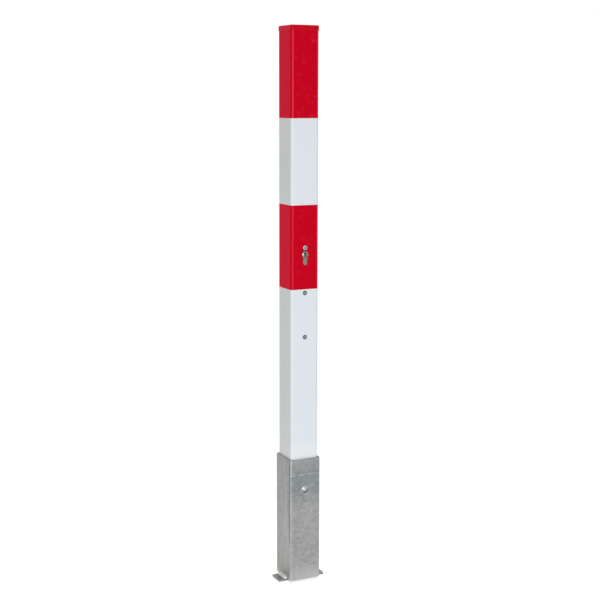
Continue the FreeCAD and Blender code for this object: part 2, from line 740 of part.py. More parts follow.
def make_guide_rivet(name, height):
    """Blind rivet: low head outside, pulled core, bulb behind the guide."""
    body = new_body(name)
    top = "(post_side/2 + rivet_head_height)"
    head = new_sketch(body, "head", "XZ_Plane", "post_side/2")
    draw_circle(head, "0", height, "rivet_head")
    solid = pad(body, head, "rivet_head_height")
    dress(body, "Chamfer", solid, edges_at(1, "-" + top), "rivet_head_chamfer")
    shank = new_sketch(body, "shank", "XZ_Plane", "post_side/2")
    draw_circle(shank, "0", height, "rivet_shank")
    pad(body, shank, "post_wall + guide_sheet", backwards=True)
    bulb = new_sketch(body, "bulb", "XZ_Plane", SHEET_FACE)
    draw_circle(bulb, "0", height, "rivet_bulb")
    swollen = pad(body, bulb, "rivet_bulb_length", backwards=True)
    dress(body, "Chamfer", swollen, edges_at(1, "rivet_bulb_length - " + SHEET_FACE),
          "rivet_bulb_chamfer")
    cut_round(body, "core", "XZ_Plane", top, "0", height, "rivet_core", "rivet_core_depth")


def make_cam_bar():
    """Flat bar beside the cylinder with the cam's window, set over to the rod below."""
    body = new_body("cam_bar")
    half = "bar_thickness/2"
    low_knee = "(%s - bar_joggle_height)" % KNEE_Z
    end = "(%s - bar_tongue_length)" % low_knee
    # Drop of the outer bend below the inner one that keeps the slanting part full thickness
    shift = "(%s + bar_thickness/2)" % BAR_FACE
    slant = "sqrt(bar_joggle_height^2 + %s^2)" % shift
    drop = "(bar_thickness*(%s - bar_joggle_height)/%s)" % (slant, shift)
    section = new_sketch(body, "section", "XZ_Plane", CAM_Y)
    draw_outline(section, [
        ("-" + BAR_BACK, BAR_TOP), ("-" + BAR_BACK, "%s - %s" % (KNEE_Z, drop)),
        ("-" + half, low_knee), ("-" + half, end), (half, end),
        (half, "%s + %s" % (low_knee, drop)), ("-" + BAR_FACE, KNEE_Z),
        ("-" + BAR_FACE, BAR_TOP)])
    pad(body, section, "bar_width", both_ways=True)
    window = new_sketch(body, "window", "YZ_Plane")
    below = ("(%s - bar_cylinder_gap)*(-cos(cam_rest_angle*1deg)/sin(cam_rest_angle*1deg))"
             " - cam_finger/2/sin(cam_rest_angle*1deg) - window_height_gap" % BAR_FACE)
    above = ("rod_travel*(cam_rest_angle - 45)/cam_turn + cam_finger/2*sqrt(2)"
             " - %s + window_height_gap" % BAR_FACE)
    half_width = "(cam_space/2 + window_width_gap)"
    draw_box(window, "-%s - %s" % (CAM_Y, half_width), "-%s + %s" % (CAM_Y, half_width),
             "%s + %s" % (LOCK_Z, below), "%s + %s" % (LOCK_Z, above))
    pocket(body, window, "2*%s + 2*overcut" % BAR_BACK, both_ways=True)


def make_lock_rod():
    """Round rod, slit at both ends for the bar above and the plate below."""
    body = new_body("lock_rod")
    section = new_sketch(body, "section", "XY_Plane", PLATE_TOP)
    draw_circle(section, "0", "-" + CAM_Y, "rod_diameter")
    pad(body, section, "%s - %s" % (ROD_TOP, PLATE_TOP))
    across = "rod_diameter + 2*overcut"
    upper = new_sketch(body, "upper_slit", "XZ_Plane", CAM_Y)
    draw_box(upper, "-bar_thickness/2", "bar_thickness/2", ROD_TOP + " - rod_lap", ROD_TOP)
    pocket(body, upper, across, both_ways=True)
    lower = new_sketch(body, "lower_slit", "XZ_Plane", CAM_Y)
    draw_box(lower, "-plate_thickness/2", "plate_thickness/2", PLATE_TOP, PLATE_TOP + " + rod_lap")
    pocket(body, lower, across, both_ways=True)


def make_slot_plate():
    """Plate at the rod's foot whose sloping slot drives the bolt in and out."""
    body = new_body("slot_plate")
    front = "-" + PLATE_FRONT
    back = "(-%s + plate_width)" % PLATE_FRONT
    tongue_front = "(-%s - rod_diameter/2)" % CAM_Y
    tongue_back = "(-%s + rod_diameter/2)" % CAM_Y
    section = new_sketch(body, "section", "YZ_Plane")
    draw_outline(section, [
        (front, PLATE_BOTTOM), (back, PLATE_BOTTOM), (back, PLATE_TOP), (tongue_back, PLATE_TOP),
        (tongue_back, PLATE_TOP + " + rod_lap"), (tongue_front, PLATE_TOP + " + rod_lap"),
        (tongue_front, PLATE_TOP), (front, PLATE_TOP)])
    solid = pad(body, section, "plate_thickness", both_ways=True)
    foot = edges_at(2, PLATE_BOTTOM)

    def foot_corner(edge):
        return runs_along(edge, 0) and foot(edge)
    dress(body, "Fillet", solid, foot_corner, "plate_corner")
    low = ("-" + PIN_Y, BOLT_Z)
    high = ("-%s - bolt_travel" % PIN_Y, BOLT_Z + " + rod_travel")
    slant = "sqrt(rod_travel^2 + bolt_travel^2)"
    out_y = "%s*rod_travel/%s" % (PIN_SLOT_HALF, slant)
    out_z = "%s*bolt_travel/%s" % (PIN_SLOT_HALF, slant)
    slot = new_sketch(body, "slot", "YZ_Plane")
    draw_outline(slot, [
        ("%s + %s" % (low[0], out_y), "%s + %s" % (low[1], out_z)),
        ("%s + %s" % (high[0], out_y), "%s + %s" % (high[1], out_z)),
        ("%s - %s" % (high[0], out_y), "%s - %s" % (high[1], out_z)),
        ("%s - %s" % (low[0], out_y), "%s - %s" % (low[1], out_z))])
    pocket(body, slot, "plate_thickness + 2*overcut", both_ways=True)
    for name, (across, along) in (("slot_low_end", low), ("slot_high_end", high)):
        cut_round(body, name, "YZ_Plane", "plate_thickness/2", across, along,
                  "2*" + PIN_SLOT_HALF, "plate_thickness + overcut")


def make_lock_bolt():
    """Turned bolt with a chamfered nose, the lathe's centre hole and a fork for the slot plate."""
    body = new_body("lock_bolt")
    section = new_sketch(body, "section", "XZ_Plane", BOLT_END)
    draw_circle(section, "0", BOLT_Z, "bolt_diameter")
    solid = pad(body, section, "bolt_length")
    dress(body, "Chamfer", solid, edges_at(1, "-" + BOLT_TIP), "bolt_nose_chamfer")
    cut_round(body, "centre_hole", "XZ_Plane", BOLT_TIP, "0", BOLT_Z,
              "bolt_centre_hole", "bolt_centre_depth")
    fork = new_sketch(body, "fork", "YZ_Plane")
    draw_box(fork, "-%s - bolt_slot_end_gap" % PLATE_FRONT, "-%s + bolt_diameter" % BOLT_END,
             BOLT_Z + " - bolt_diameter", BOLT_Z + " + bolt_diameter")
    pocket(body, fork, "plate_thickness + 2*bolt_slot_gap", both_ways=True)
    cut_round(body, "pin_hole", "YZ_Plane", "bolt_diameter/2", "-" + PIN_Y, BOLT_Z,
              "bolt_pin_diameter", "bolt_diameter + overcut")


def make_bolt_pin():
    body = new_body("bolt_pin")
    section = new_sketch(body, "section", "YZ_Plane")
    draw_circle(section, "-" + PIN_Y, BOLT_Z, "bolt_pin_diameter")
    pad(body, section, "bolt_diameter", both_ways=True)


def make_bolt_bush():
    """Turned steel bush in the post's front wall that the bolt slides in."""
    body = new_body("bolt_bush")
    neck = new_sketch(body, "neck", "XZ_Plane", "post_side/2")
    draw_circle(neck, "0", BOLT_Z, "bolt_bush_diameter")
    pad(body, neck, "bolt_bush_length", backwards=True)
    shoulder = new_sketch(body, "shoulder", "XZ_Plane", INNER_FACE)
    draw_circle(shoulder, "0", BOLT_Z, "bolt_bush_shoulder")
    pad(body, shoulder, "bolt_bush_shoulder_height", backwards=True)
    cut_round(body, "bore", "XZ_Plane", "post_side/2", "0", BOLT_Z,
              "bolt_diameter + 2*bolt_bush_gap", "bolt_bush_length")


def make_bush_weld():
    """Weld ring between the bush's shoulder and the inside of the front wall."""
    body = new_body("bush_weld")
    profile = new_sketch(body, "profile", "YZ_Plane")
    wall = "-" + INNER_FACE
    edge = "(%s + bolt_bush_shoulder/2)" % BOLT_Z
    draw_outline(profile, [(wall, edge), (wall, edge + " + bolt_bush_weld"),
                           ("%s + bolt_bush_shoulder_height" % wall, edge)])
    draw_axis(profile, (wall, BOLT_Z), ("0", BOLT_Z))
    spin(body, profile)


def make_all():
    make_ground_sleeve()
    make_base_strap()
    make_weld("weld_left", "-")
    make_weld("weld_right", "")
    make_post_tube()
    make_end_cap()
    make_band("upper_red_band", POST_TOP, False)
    make_band("lower_red_band", LOW_BAND_TOP, True)
    make_cylinder_body()
    make_cylinder_plug()
    make_cylinder_cam()
    make_holding_screw()
    make_upper_guide()
    make_upper_screw()
    make_upper_nut()
    for level, height in (("high", HIGH_RIVET_Z), ("low", LOW_RIVET_Z)):
        make_rod_guide("rod_guide_" + level, height)
        make_rod_bush("rod_bush_" + level, height)
        make_guide_rivet("guide_rivet_" + level, height)
    make_cam_bar()
    make_lock_rod()
    make_slot_plate()
    make_lock_bolt()
    make_bolt_pin()
    make_bolt_bush()
    make_bush_weld()


def check_document():
    """Stop if any feature failed or any piece is not one sound solid."""
    for item in doc.Objects:
        faults = [word for word in item.State if word in ("Invalid", "Error")]
        if faults:
            raise RuntimeError("%s: %s" % (item.Name, item.State))
    for body in pieces:
        shape = body.Shape
        if shape.isNull() or not shape.isValid() or len(shape.Solids) != 1:
            raise RuntimeError(body.Label + " is not one sound solid")


def write_pieces():
    """One file for each piece, named after it."""
    os.makedirs("parts", exist_ok=True)
    for body in pieces:
        body.Shape.exportStep("parts/%s.step" % body.Label)
        print("%-18s %10.1f mm3" % (body.Label, body.Shape.Volume))


fill_sheet()
make_all()
doc.recompute()
check_document()
write_pieces()
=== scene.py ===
import json
import math

import bmesh
import bpy
from bpy.props import FloatProperty, FloatVectorProperty, IntProperty, PointerProperty
from mathutils import Euler, Matrix, Vector, noise


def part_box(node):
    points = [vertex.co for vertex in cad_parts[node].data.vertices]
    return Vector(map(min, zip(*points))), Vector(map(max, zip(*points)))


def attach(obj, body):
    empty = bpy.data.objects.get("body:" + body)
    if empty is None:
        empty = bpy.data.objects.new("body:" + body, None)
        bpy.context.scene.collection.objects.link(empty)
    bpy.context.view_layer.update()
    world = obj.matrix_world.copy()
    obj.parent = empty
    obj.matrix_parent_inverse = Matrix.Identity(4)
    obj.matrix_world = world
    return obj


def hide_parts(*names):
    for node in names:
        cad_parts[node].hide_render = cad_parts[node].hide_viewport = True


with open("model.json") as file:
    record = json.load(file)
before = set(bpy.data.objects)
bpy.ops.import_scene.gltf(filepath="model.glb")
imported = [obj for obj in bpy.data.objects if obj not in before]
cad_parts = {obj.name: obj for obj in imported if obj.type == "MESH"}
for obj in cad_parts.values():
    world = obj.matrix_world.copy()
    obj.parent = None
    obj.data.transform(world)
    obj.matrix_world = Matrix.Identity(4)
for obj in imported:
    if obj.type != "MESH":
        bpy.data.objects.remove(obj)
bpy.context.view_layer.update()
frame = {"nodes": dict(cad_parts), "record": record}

bl_info = {
    "name": "Removable barrier post",
    "version": (1, 0, 0),
    "blender": (4, 5, 0),
    "location": "View3D > Sidebar > Post",
    "description": "Finishes a square barrier post with a keyed lock in its ground sleeve",
    "category": "Object",
}

MM = 0.001

# Places on the part, from its own pieces. The front faces -Y.
SLEEVE_LOW, SLEEVE_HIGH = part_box("ground_sleeve")
STRAP_LOW, STRAP_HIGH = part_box("base_strap")
BOLT_LOW, BOLT_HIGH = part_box("lock_bolt")
PLUG_LOW, PLUG_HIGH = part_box("cylinder_plug")
LOCK_LOW, LOCK_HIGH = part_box("cylinder_body")
FILM_LOW, FILM_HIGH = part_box("lower_red_band")
SCREW_LOW, SCREW_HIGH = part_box("upper_screw")
TUBE_FACE_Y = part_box("post_tube")[0].y
BOLT_AXIS_Z = (BOLT_LOW.z + BOLT_HIGH.z) / 2
PLUG_AXIS_Z = (PLUG_LOW.z + PLUG_HIGH.z) / 2
SCREW_AXIS_Z = (SCREW_LOW.z + SCREW_HIGH.z) / 2

# Height of the zinc run that crosses the sleeve's front
RUN_Z = 267.0 * MM

# How near two corners lie that are merged: in the CAD's loose triangles and in new pieces
CAD_MERGE = 1e-6
NEW_MERGE = 1e-7


def linear(hex_colour):
    """Turns an sRGB hex colour into linear values with full alpha."""
    values = [int(hex_colour[i:i + 2], 16) / 255 for i in (1, 3, 5)]
    return tuple(v / 12.92 if v <= 0.04045 else ((v + 0.055) / 1.055) ** 2.4
                 for v in values) + (1.0,)


# Settings that a user would change

def colour_setting(name, description, hex_colour):
    return FloatVectorProperty(name=name, description=description, default=linear(hex_colour),
                               size=4, min=0.0, max=1.0, subtype="COLOR")


def length_setting(name, description, millimetres):
    return FloatProperty(name=name, description=description, default=millimetres * MM,
                         min=0.0, subtype="DISTANCE", unit="LENGTH", precision=5)


def level_setting(name, description, value):
    return FloatProperty(name=name, description=description, default=value, min=0.0)


class PostColours(bpy.types.PropertyGroup):
    coat: colour_setting("Powder coat", "White of the post's powder coat", "#E5E9EB")
    film: colour_setting("Red film", "Red of the wrapped film", "#CB041F")
    film_fleck: colour_setting("Film fleck", "Paler red of the film's faint flecks", "#DA2440")
    # Colour of a painted sheen where the film and the cap are seen at a slant
    film_slant_sheen: colour_setting("Film at a slant", "Crimson of the film seen at a slant", "#E60430")
    # Colour of a painted highlight along the post's corners
    film_bend_highlight: colour_setting("Film at a bend", "Pale red of the film stretched round a corner",
                              "#F0485A")
    cap: colour_setting("Cap", "Red of the moulded cap", "#C4031A")
    zinc: colour_setting("Zinc", "Middle grey of the galvanised steel", "#AEAEAE")
    zinc_dark: colour_setting("Zinc shade", "Darker crystals of the zinc", "#989898")
    # Also the colour of the zinc's painted glints and painted highlights
    zinc_bright: colour_setting("Zinc glint", "Bright crystals and runs of the zinc", "#E6E7E7")
    # Also used as painted shade, low on the sleeve's left side
    stain_and_shade: colour_setting("Stain", "Brownish storage stain at the sleeve's foot", "#8A8880")
    nickel: colour_setting("Nickel", "Satin nickel of the lock's body", "#8F8A83")
    plug: colour_setting("Plug", "Worn nickel of the lock's plug", "#98928A")
    plated: colour_setting("Zinc plate", "Bright zinc plate of screws and inner parts", "#B2B2B0")
    rivet: colour_setting("Rivet", "Dull steel of the rivet heads", "#5C605F")
    steel: colour_setting("Turned steel", "Turned steel of the bolt's bush", "#B4B4B2")
    sinter: colour_setting("Sintered steel", "Grey of the lock's cam", "#5A5B5D")
    acetal: colour_setting("Acetal", "Black of the rod's bushes", "#141416")


class PostSizes(bpy.types.PropertyGroup):
    crystal: length_setting("Zinc crystal", "Width of a zinc crystal", 6.0)
    orange_peel: length_setting("Orange peel", "Wave of the powder coat's surface", 1.6)
    ripple: length_setting("Weld ripple", "Pitch of the weld's ripples", 4.6)
    ripple_height: length_setting("Ripple height", "Height of the weld's ripples", 0.8)
    weld_crown: length_setting("Weld crown", "How far the weld bulges", 0.9)
    edge: length_setting("Edge", "Rounding that the zinc gives to cut edges", 0.5)
    lock_edge: length_setting("Lock edge", "Rounding of the lock's front edge", 0.34)
    nose: length_setting("Bolt nose", "Rounding of the bolt's nose", 1.1)
    centre_hole: length_setting("Centre hole", "Radius and depth of the nose's centre hole", 1.6)
    plug_dome: length_setting("Plug dome", "How far the plug's face is domed", 1.2)
    turned_steps: IntProperty(name="Turned steps", description="Steps round a turned part",
                              default=56, min=12, max=128)


class PostStage(bpy.types.PropertyGroup):
    key: level_setting("Key", "Power of the bluish lamp in front, in watts", 80.0)
    side: level_setting("Side", "Power of the tall softbox at the left, in watts", 10.5)
    top: level_setting("Top", "Power of the softbox overhead, in watts", 14.0)
    back: level_setting("Back", "Power of the lamp behind, in watts", 40.0)
    surround: level_setting("Surround", "Light that comes from all round", 0.26)
    floor_glow: level_setting("Floor glow", "How far the floor is lifted to white", 0.6)
    floor_radius: length_setting("Floor", "Radius of the round floor", 3000.0)
    floor_near: length_setting("Floor near", "Radius inside which the shadow is kept", 350.0)
    floor_far: length_setting("Floor far", "Radius past which the floor is plain white", 1500.0)


# Helpers for materials

def add(tree, kind, inputs=None, **options):
    """Adds a node. An input is a value, a node that is linked by its first output, or a
    (node, output) pair. Some inputs are given by number: a Map Range maps 0 from 1 and 2
    onto 3 and 4, which are 0 and 1 if left out. A colour Mix has its factor in 0, its
    colours in 6 and 7 and its result in output 2. A Mix of values has them in 2 and 3."""
    node = tree.nodes.new(kind)
    for name, value in options.items():
        setattr(node, name, value)
    for socket, value in (inputs or {}).items():
        if isinstance(value, bpy.types.Node):
            value = (value, 0)
        if isinstance(value, tuple) and isinstance(value[0], bpy.types.Node):
            tree.links.new(value[0].outputs[value[1]], node.inputs[socket])
        else:
            node.inputs[socket].default_value = value
    return node


def per_metre(length):
    """Texture scale for a feature of this length in metres."""
    return 1.0 / length


def waves_per_metre(length):
    """Scale of a Wave texture, whose waves are tau / 20 long at a scale of 1."""
    return math.tau / 20 / length


def within(tree, value, low, high, soft):
    """A mask: 1 where the value lies between low and high, falling to 0 over the soft width."""
    rise = add(tree, "ShaderNodeMapRange", {0: value, 1: low - soft, 2: low})
    fall = add(tree, "ShaderNodeMapRange", {0: value, 1: high, 2: high + soft, 3: 1.0, 4: 0.0})
    return add(tree, "ShaderNodeMath", {0: rise, 1: fall}, operation="MULTIPLY")


def from_axis(tree, place, x, z):
    """Distance from the line along Y through x and z."""
    centred = add(tree, "ShaderNodeMapping", {"Vector": place, "Location": (-x, 0.0, -z),
                  "Scale": (1.0, 0.0, 1.0)})
    return add(tree, "ShaderNodeVectorMath", {0: centred}, operation="LENGTH"), "Value"


def layered(tree, base, layers, blend="MIX"):
    """Lays colours over a base one after the other. Each layer is a colour and the masks
    and shares whose product says how much of it shows."""
    for colour, share, *masks in layers:
        for mask in masks:
            share = add(tree, "ShaderNodeMath", {0: share, 1: mask}, operation="MULTIPLY")
        mixed = add(tree, "ShaderNodeMix", {0: share, 6: base, 7: colour}, data_type="RGBA",
                    blend_type=blend)
        base = (mixed, 2)
    return base


def new_material(name):
    """Returns a material, its emptied surface tree and the object coordinates in it."""
    material = bpy.data.materials.new(name)
    material.use_nodes = True
    tree = material.node_tree
    tree.nodes.clear()
    return material, tree, (add(tree, "ShaderNodeTexCoord"), "Object")


def close_material(material, inputs, relief=None):
    """Ends the material in one shader with these inputs, and returns it. A relief is a
    height pattern, with the strength and the depth of its bump."""
    tree = material.node_tree
    if relief:
        height, strength, depth = relief
        inputs["Normal"] = add(tree, "ShaderNodeBump", {"Height": height,
                               "Strength": strength, "Distance": depth})
    shader = add(tree, "ShaderNodeBsdfPrincipled", inputs)
    add(tree, "ShaderNodeOutputMaterial", {"Surface": shader})
    return material


def drawn_metal(name, colour, worn, roughness, stretch=(1.0, 1.0, 1.0)):
    """A plated or bare metal with soft patches of wear and fine marks, which run along an
    axis whose stretch is under 1. Returns it with its tree, its object coordinates and
    its shader's inputs."""
    material, tree, place = new_material(name)
    along = add(tree, "ShaderNodeMapping", {"Vector": place, "Scale": stretch})
    # Real marks are under 0.1 mm apart. They are drawn at 0.5 mm so that they show.
    marks = add(tree, "ShaderNodeTexNoise", {"Vector": along, "Scale": per_metre(0.5 * MM),
                "Detail": 3.0, "Roughness": 0.6})
    patch = add(tree, "ShaderNodeTexNoise", {"Vector": place, "Scale": per_metre(4.0 * MM),
                "Detail": 3.0, "Roughness": 0.55})
    rough = add(tree, "ShaderNodeMapRange", {0: marks, 1: 0.3, 2: 0.7,
                3: roughness - 0.05, 4: roughness + 0.08})
    bump = add(tree, "ShaderNodeBump", {"Height": marks, "Strength": 0.25, "Distance": 0.02 * MM})
    return material, tree, place, {"Base Color": layered(tree, colour, [(worn, patch)]),
                                   "Metallic": 1.0, "Roughness": rough, "Normal": bump}


# Finishes of the post

def powder_coat():
    """Polyester powder coat, baked: smooth semi-gloss white with a soft orange peel.
    The eye sees clean white that waves slightly in the highlights, with painted light a little
    paler at the sleeve's rim, and a thin dark outline of painted shade where the film is cut
    out round the lock."""
    scene = bpy.context.scene
    material, tree, place = new_material("white_powder_coat")
    peel = add(tree, "ShaderNodeTexNoise", {"Vector": place, "Detail": 1.0, "Roughness": 0.4,
               "Scale": per_metre(scene.post_sizes.orange_peel)})
    cloud = add(tree, "ShaderNodeTexNoise", {"Vector": place, "Scale": per_metre(90 * MM),
                "Detail": 2.0, "Roughness": 0.5})
    split = add(tree, "ShaderNodeSeparateXYZ", {0: place})
    painted_light_at_rim = within(tree, (split, 2), SLEEVE_HIGH.z - 15 * MM, SLEEVE_HIGH.z + 5 * MM, 45 * MM)
    margin = 1.5 * MM
    wide = within(tree, (split, 0), LOCK_LOW.x - margin, LOCK_HIGH.x + margin, 0.2 * MM)
    tall = within(tree, (split, 2), LOCK_LOW.z - margin, SCREW_HIGH.z + margin, 0.2 * MM)
    front = within(tree, (split, 1), FILM_LOW.y, FILM_LOW.y + 1.0 * MM, 0.1 * MM)
    white = layered(tree, scene.post_colours.coat, [
        (linear("#E1E5E8"), cloud),
        # Painted light: a paler band at the sleeve's rim
        (linear("#EDEEEF"), painted_light_at_rim),
        # Painted shade: a thin dark outline round the lock, where the film is cut out
        (linear("#4A2A2C"), wide, tall, front),
    ])
    sheen = add(tree, "ShaderNodeMapRange", {0: cloud, 1: 0.3, 2: 0.7, 3: 0.46, 4: 0.54})
    return close_material(material, {"Base Color": white, "Roughness": sheen, "IOR": 1.5,
                          "Specular IOR Level": 0.15}, (peel, 0.25, 0.05 * MM))


def painted_slant_sheen(tree):
    """A mask of what is seen at a slant, where red plastic gets a painted sheen of paler crimson.
    """
    slant = add(tree, "ShaderNodeLayerWeight", {"Blend": 0.5})
    return add(tree, "ShaderNodeMapRange", {0: (slant, "Facing"), 1: 0.2, 2: 0.6})


def red_film():
    """Self-adhesive vinyl marking film: even, deep red, a little flecked where it was
    pressed on, with a painted sheen of paler crimson where it is seen at a slant, and a
    painted highlight: a thin pale line along the post's corners."""
    colours = bpy.context.scene.post_colours
    material, tree, place = new_material("red_vinyl_film")
    fleck = add(tree, "ShaderNodeTexNoise", {"Vector": place, "Scale": per_metre(11 * MM),
                "Detail": 3.0, "Roughness": 0.65})
    split = add(tree, "ShaderNodeSeparateXYZ", {0: place})
    # The upper band is more flecked, and has a stronger painted highlight at its bends, than the
    # lower one
    fleck_and_highlight_strength = add(tree, "ShaderNodeMapRange", {0: (split, 2), 1: FILM_HIGH.z,
                  2: FILM_HIGH.z + 100 * MM, 3: 0.45, 4: 0.85})
    pressed = add(tree, "ShaderNodeMapRange", {0: fleck, 1: 0.56, 2: 0.74, 4: 0.9})
    across = add(tree, "ShaderNodeMath", {0: (split, 0)}, operation="ABSOLUTE")
    # Painted highlight: a thin pale line along the post's corners
    bend = within(tree, across, FILM_HIGH.x - 4.8 * MM, FILM_HIGH.x - 3.6 * MM, 0.5 * MM)
    red = layered(tree, colours.film, [
        (colours.film_fleck, pressed, fleck_and_highlight_strength),
        # Painted sheen: paler crimson where the film is seen at a slant
        (colours.film_slant_sheen, painted_slant_sheen(tree)),
        (colours.film_bend_highlight, bend, fleck_and_highlight_strength),
    ])
    wave = add(tree, "ShaderNodeTexNoise", {"Vector": place, "Scale": per_metre(5 * MM),
               "Detail": 1.0, "Roughness": 0.4})
    gloss = add(tree, "ShaderNodeMapRange", {0: fleck, 1: 0.3, 2: 0.7, 3: 0.30, 4: 0.38})
    return close_material(material, {"Base Color": red, "Roughness": gloss, "IOR": 1.5,
                          "Specular IOR Level": 0.025}, (wave, 0.2, 0.05 * MM))


def moulded_cap():
    """Injection-moulded polyethylene: satin, with the fine grain of an eroded mould.
    The eye sees a softer, slightly waxy red than the film's, and a painted sheen of paler
    crimson where it is seen at a slant."""
    colours = bpy.context.scene.post_colours
    material, tree, place = new_material("red_moulded_polyethylene")
    # Real mould grain is about 0.3 mm wide. It is drawn at 0.9 mm so that it shows.
    grain = add(tree, "ShaderNodeTexNoise", {"Vector": place, "Scale": per_metre(0.9 * MM),
                "Detail": 2.0, "Roughness": 0.6})
    cloud = add(tree, "ShaderNodeTexNoise", {"Vector": place, "Scale": per_metre(18 * MM),
                "Detail": 2.0, "Roughness": 0.5})
    red = layered(tree, colours.cap, [
        (linear("#CE1226"), cloud),
        # Painted sheen: paler crimson where the cap is seen at a slant
        (colours.film_slant_sheen, painted_slant_sheen(tree)),
    ])
    return close_material(material, {"Base Color": red, "Roughness": 0.3, "IOR": 1.5,
                          "Specular IOR Level": 0.05}, (grain, 0.3, 0.04 * MM))


# The finish of the sleeve and the strap, with its layers from the lowest to the highest

def zinc_crystals(tree, place, crystal, streaky):
    """Brightness pattern of hot-dip zinc: flat crystals, clouds, grain and drained streaks."""
    cells = add(tree, "ShaderNodeTexVoronoi", {"Vector": place, "Scale": per_metre(crystal),
                "Randomness": 1.0, "Detail": 1.0})
    cell = add(tree, "ShaderNodeSeparateColor", {0: (cells, "Color")})
    cloud = add(tree, "ShaderNodeTexNoise", {"Vector": place, "Scale": per_metre(22 * MM),
                "Detail": 5.0, "Roughness": 0.62})
    drained = add(tree, "ShaderNodeMapping", {"Vector": place, "Scale": (1.0, 1.0, 0.12)})
    streak = add(tree, "ShaderNodeTexNoise", {"Vector": drained, "Scale": per_metre(9 * MM),
                 "Detail": 3.0, "Roughness": 0.55})
    grain = add(tree, "ShaderNodeTexNoise", {"Vector": place, "Scale": per_metre(2.6 * MM),
                "Detail": 3.0, "Roughness": 0.6})
    pattern = cell
    for share, finer in ((0.5, cloud), (0.45, grain), (streaky, streak)):
        pattern = add(tree, "ShaderNodeMix", {0: share, 2: pattern, 3: finer})
    return pattern, cloud


def zinc_glints(tree, place, height, front, bright):
    """Small level painted glints, most of all high on the front. Returns their noise too."""
    level = add(tree, "ShaderNodeMapping", {"Vector": place, "Scale": (0.45, 0.45, 1.0)})
    speck = add(tree, "ShaderNodeTexNoise", {"Vector": level, "Scale": per_metre(5 * MM),
                "Detail": 5.0, "Roughness": 0.7})
    glinting = add(tree, "ShaderNodeMapRange", {0: speck, 1: 0.55, 2: 0.75, 4: 0.5})
    facing = add(tree, "ShaderNodeMapRange", {0: front, 3: 0.4, 4: 1.0})
    higher = add(tree, "ShaderNodeMapRange", {0: height, 1: 150 * MM, 2: 230 * MM, 3: 0.5, 4: 1.7})
    return [(bright, glinting, facing, higher)], speck


def zinc_edges(tree, split, bright):
    """Painted highlights on the sleeve's corners and the strap's rims, and a painted dark line
    on the sides next to the corners."""
    height = (split, 2)
    across = add(tree, "ShaderNodeMath", {0: (split, 0)}, operation="ABSOLUTE")
    deep = add(tree, "ShaderNodeMath", {0: (split, 1)}, operation="ABSOLUTE")
    side = SLEEVE_HIGH.x
    inmost = add(tree, "ShaderNodeMath", {0: across, 1: deep}, operation="MINIMUM")
    crown = add(tree, "ShaderNodeMapRange", {0: inmost, 1: side - 4.8 * MM,
                2: side - 3.2 * MM, 4: 0.12})
    flank = within(tree, deep, side - 7.2 * MM, side - 3.5 * MM, 0.8 * MM)
    sideways = within(tree, across, side - 0.9 * MM, side, 0.4 * MM)
    flank_shade_by_height = add(tree, "ShaderNodeMapRange", {0: height, 1: 70 * MM, 2: 130 * MM, 3: 0.05, 4: 0.8})
    end_rim = add(tree, "ShaderNodeMath", {0: across, 1: STRAP_HIGH.x - 1.0 * MM},
                  operation="GREATER_THAN")
    long_rim = within(tree, deep, STRAP_HIGH.y - 0.9 * MM, STRAP_HIGH.y, 0.3 * MM)
    rim = add(tree, "ShaderNodeMath", {0: end_rim, 1: long_rim}, operation="MAXIMUM")
    on_strap = add(tree, "ShaderNodeMath", {0: height, 1: STRAP_HIGH.z + 0.2 * MM},
                   operation="LESS_THAN")
    # Painted highlight on the corners, painted dark line beside them, painted highlight on the
    # strap's rims
    return [(bright, crown), (linear("#6E7070"), flank, sideways, flank_shade_by_height),
            (bright, rim, on_strap, 0.3)]


def zinc_run(tree, place, height, front, cloud, colours):
    """The run: a thin bright line across the front with a painted shadow under it, level and
    broken. Returns the bright line's mask too, because it stands proud."""
    wander = add(tree, "ShaderNodeMath", {0: cloud, 1: -3.0 * MM, 2: height},
                 operation="MULTIPLY_ADD")
    gap = add(tree, "ShaderNodeTexNoise", {"Vector": place, "Scale": per_metre(13 * MM),
              "Detail": 2.0, "Roughness": 0.5})
    unbroken = add(tree, "ShaderNodeMapRange", {0: gap, 1: 0.42, 2: 0.62, 3: 0.2, 4: 0.65})
    across = add(tree, "ShaderNodeMath", {0: front, 1: unbroken}, operation="MULTIPLY")
    line = within(tree, wander, RUN_Z - 2.4 * MM, RUN_Z - 0.8 * MM, 1.2 * MM)
    run = add(tree, "ShaderNodeMath", {0: line, 1: across}, operation="MULTIPLY")
    # Painted shadow under the run
    under = within(tree, wander, RUN_Z - 6.6 * MM, RUN_Z - 4.6 * MM, 1.0 * MM)
    return [(colours.zinc_bright, run), (colours.zinc_dark, under, across)], run


def painted_hole_highlight(tree, place, height, front):
    """A painted highlight round the rim of the bolt's hole, most of all at the upper left."""
    away = from_axis(tree, place, -1.2 * MM, BOLT_AXIS_Z - 0.5 * MM)
    mouth = within(tree, away, 0.0, 10.0 * MM, 0.5 * MM)
    above = add(tree, "ShaderNodeMapRange", {0: height, 1: BOLT_AXIS_Z - 2 * MM,
                2: BOLT_AXIS_Z + 2 * MM, 3: 0.35, 4: 0.95})
    # Painted highlight, nearly white, round the hole's mouth
    return [(linear("#FAFAF8"), mouth, above, front)]


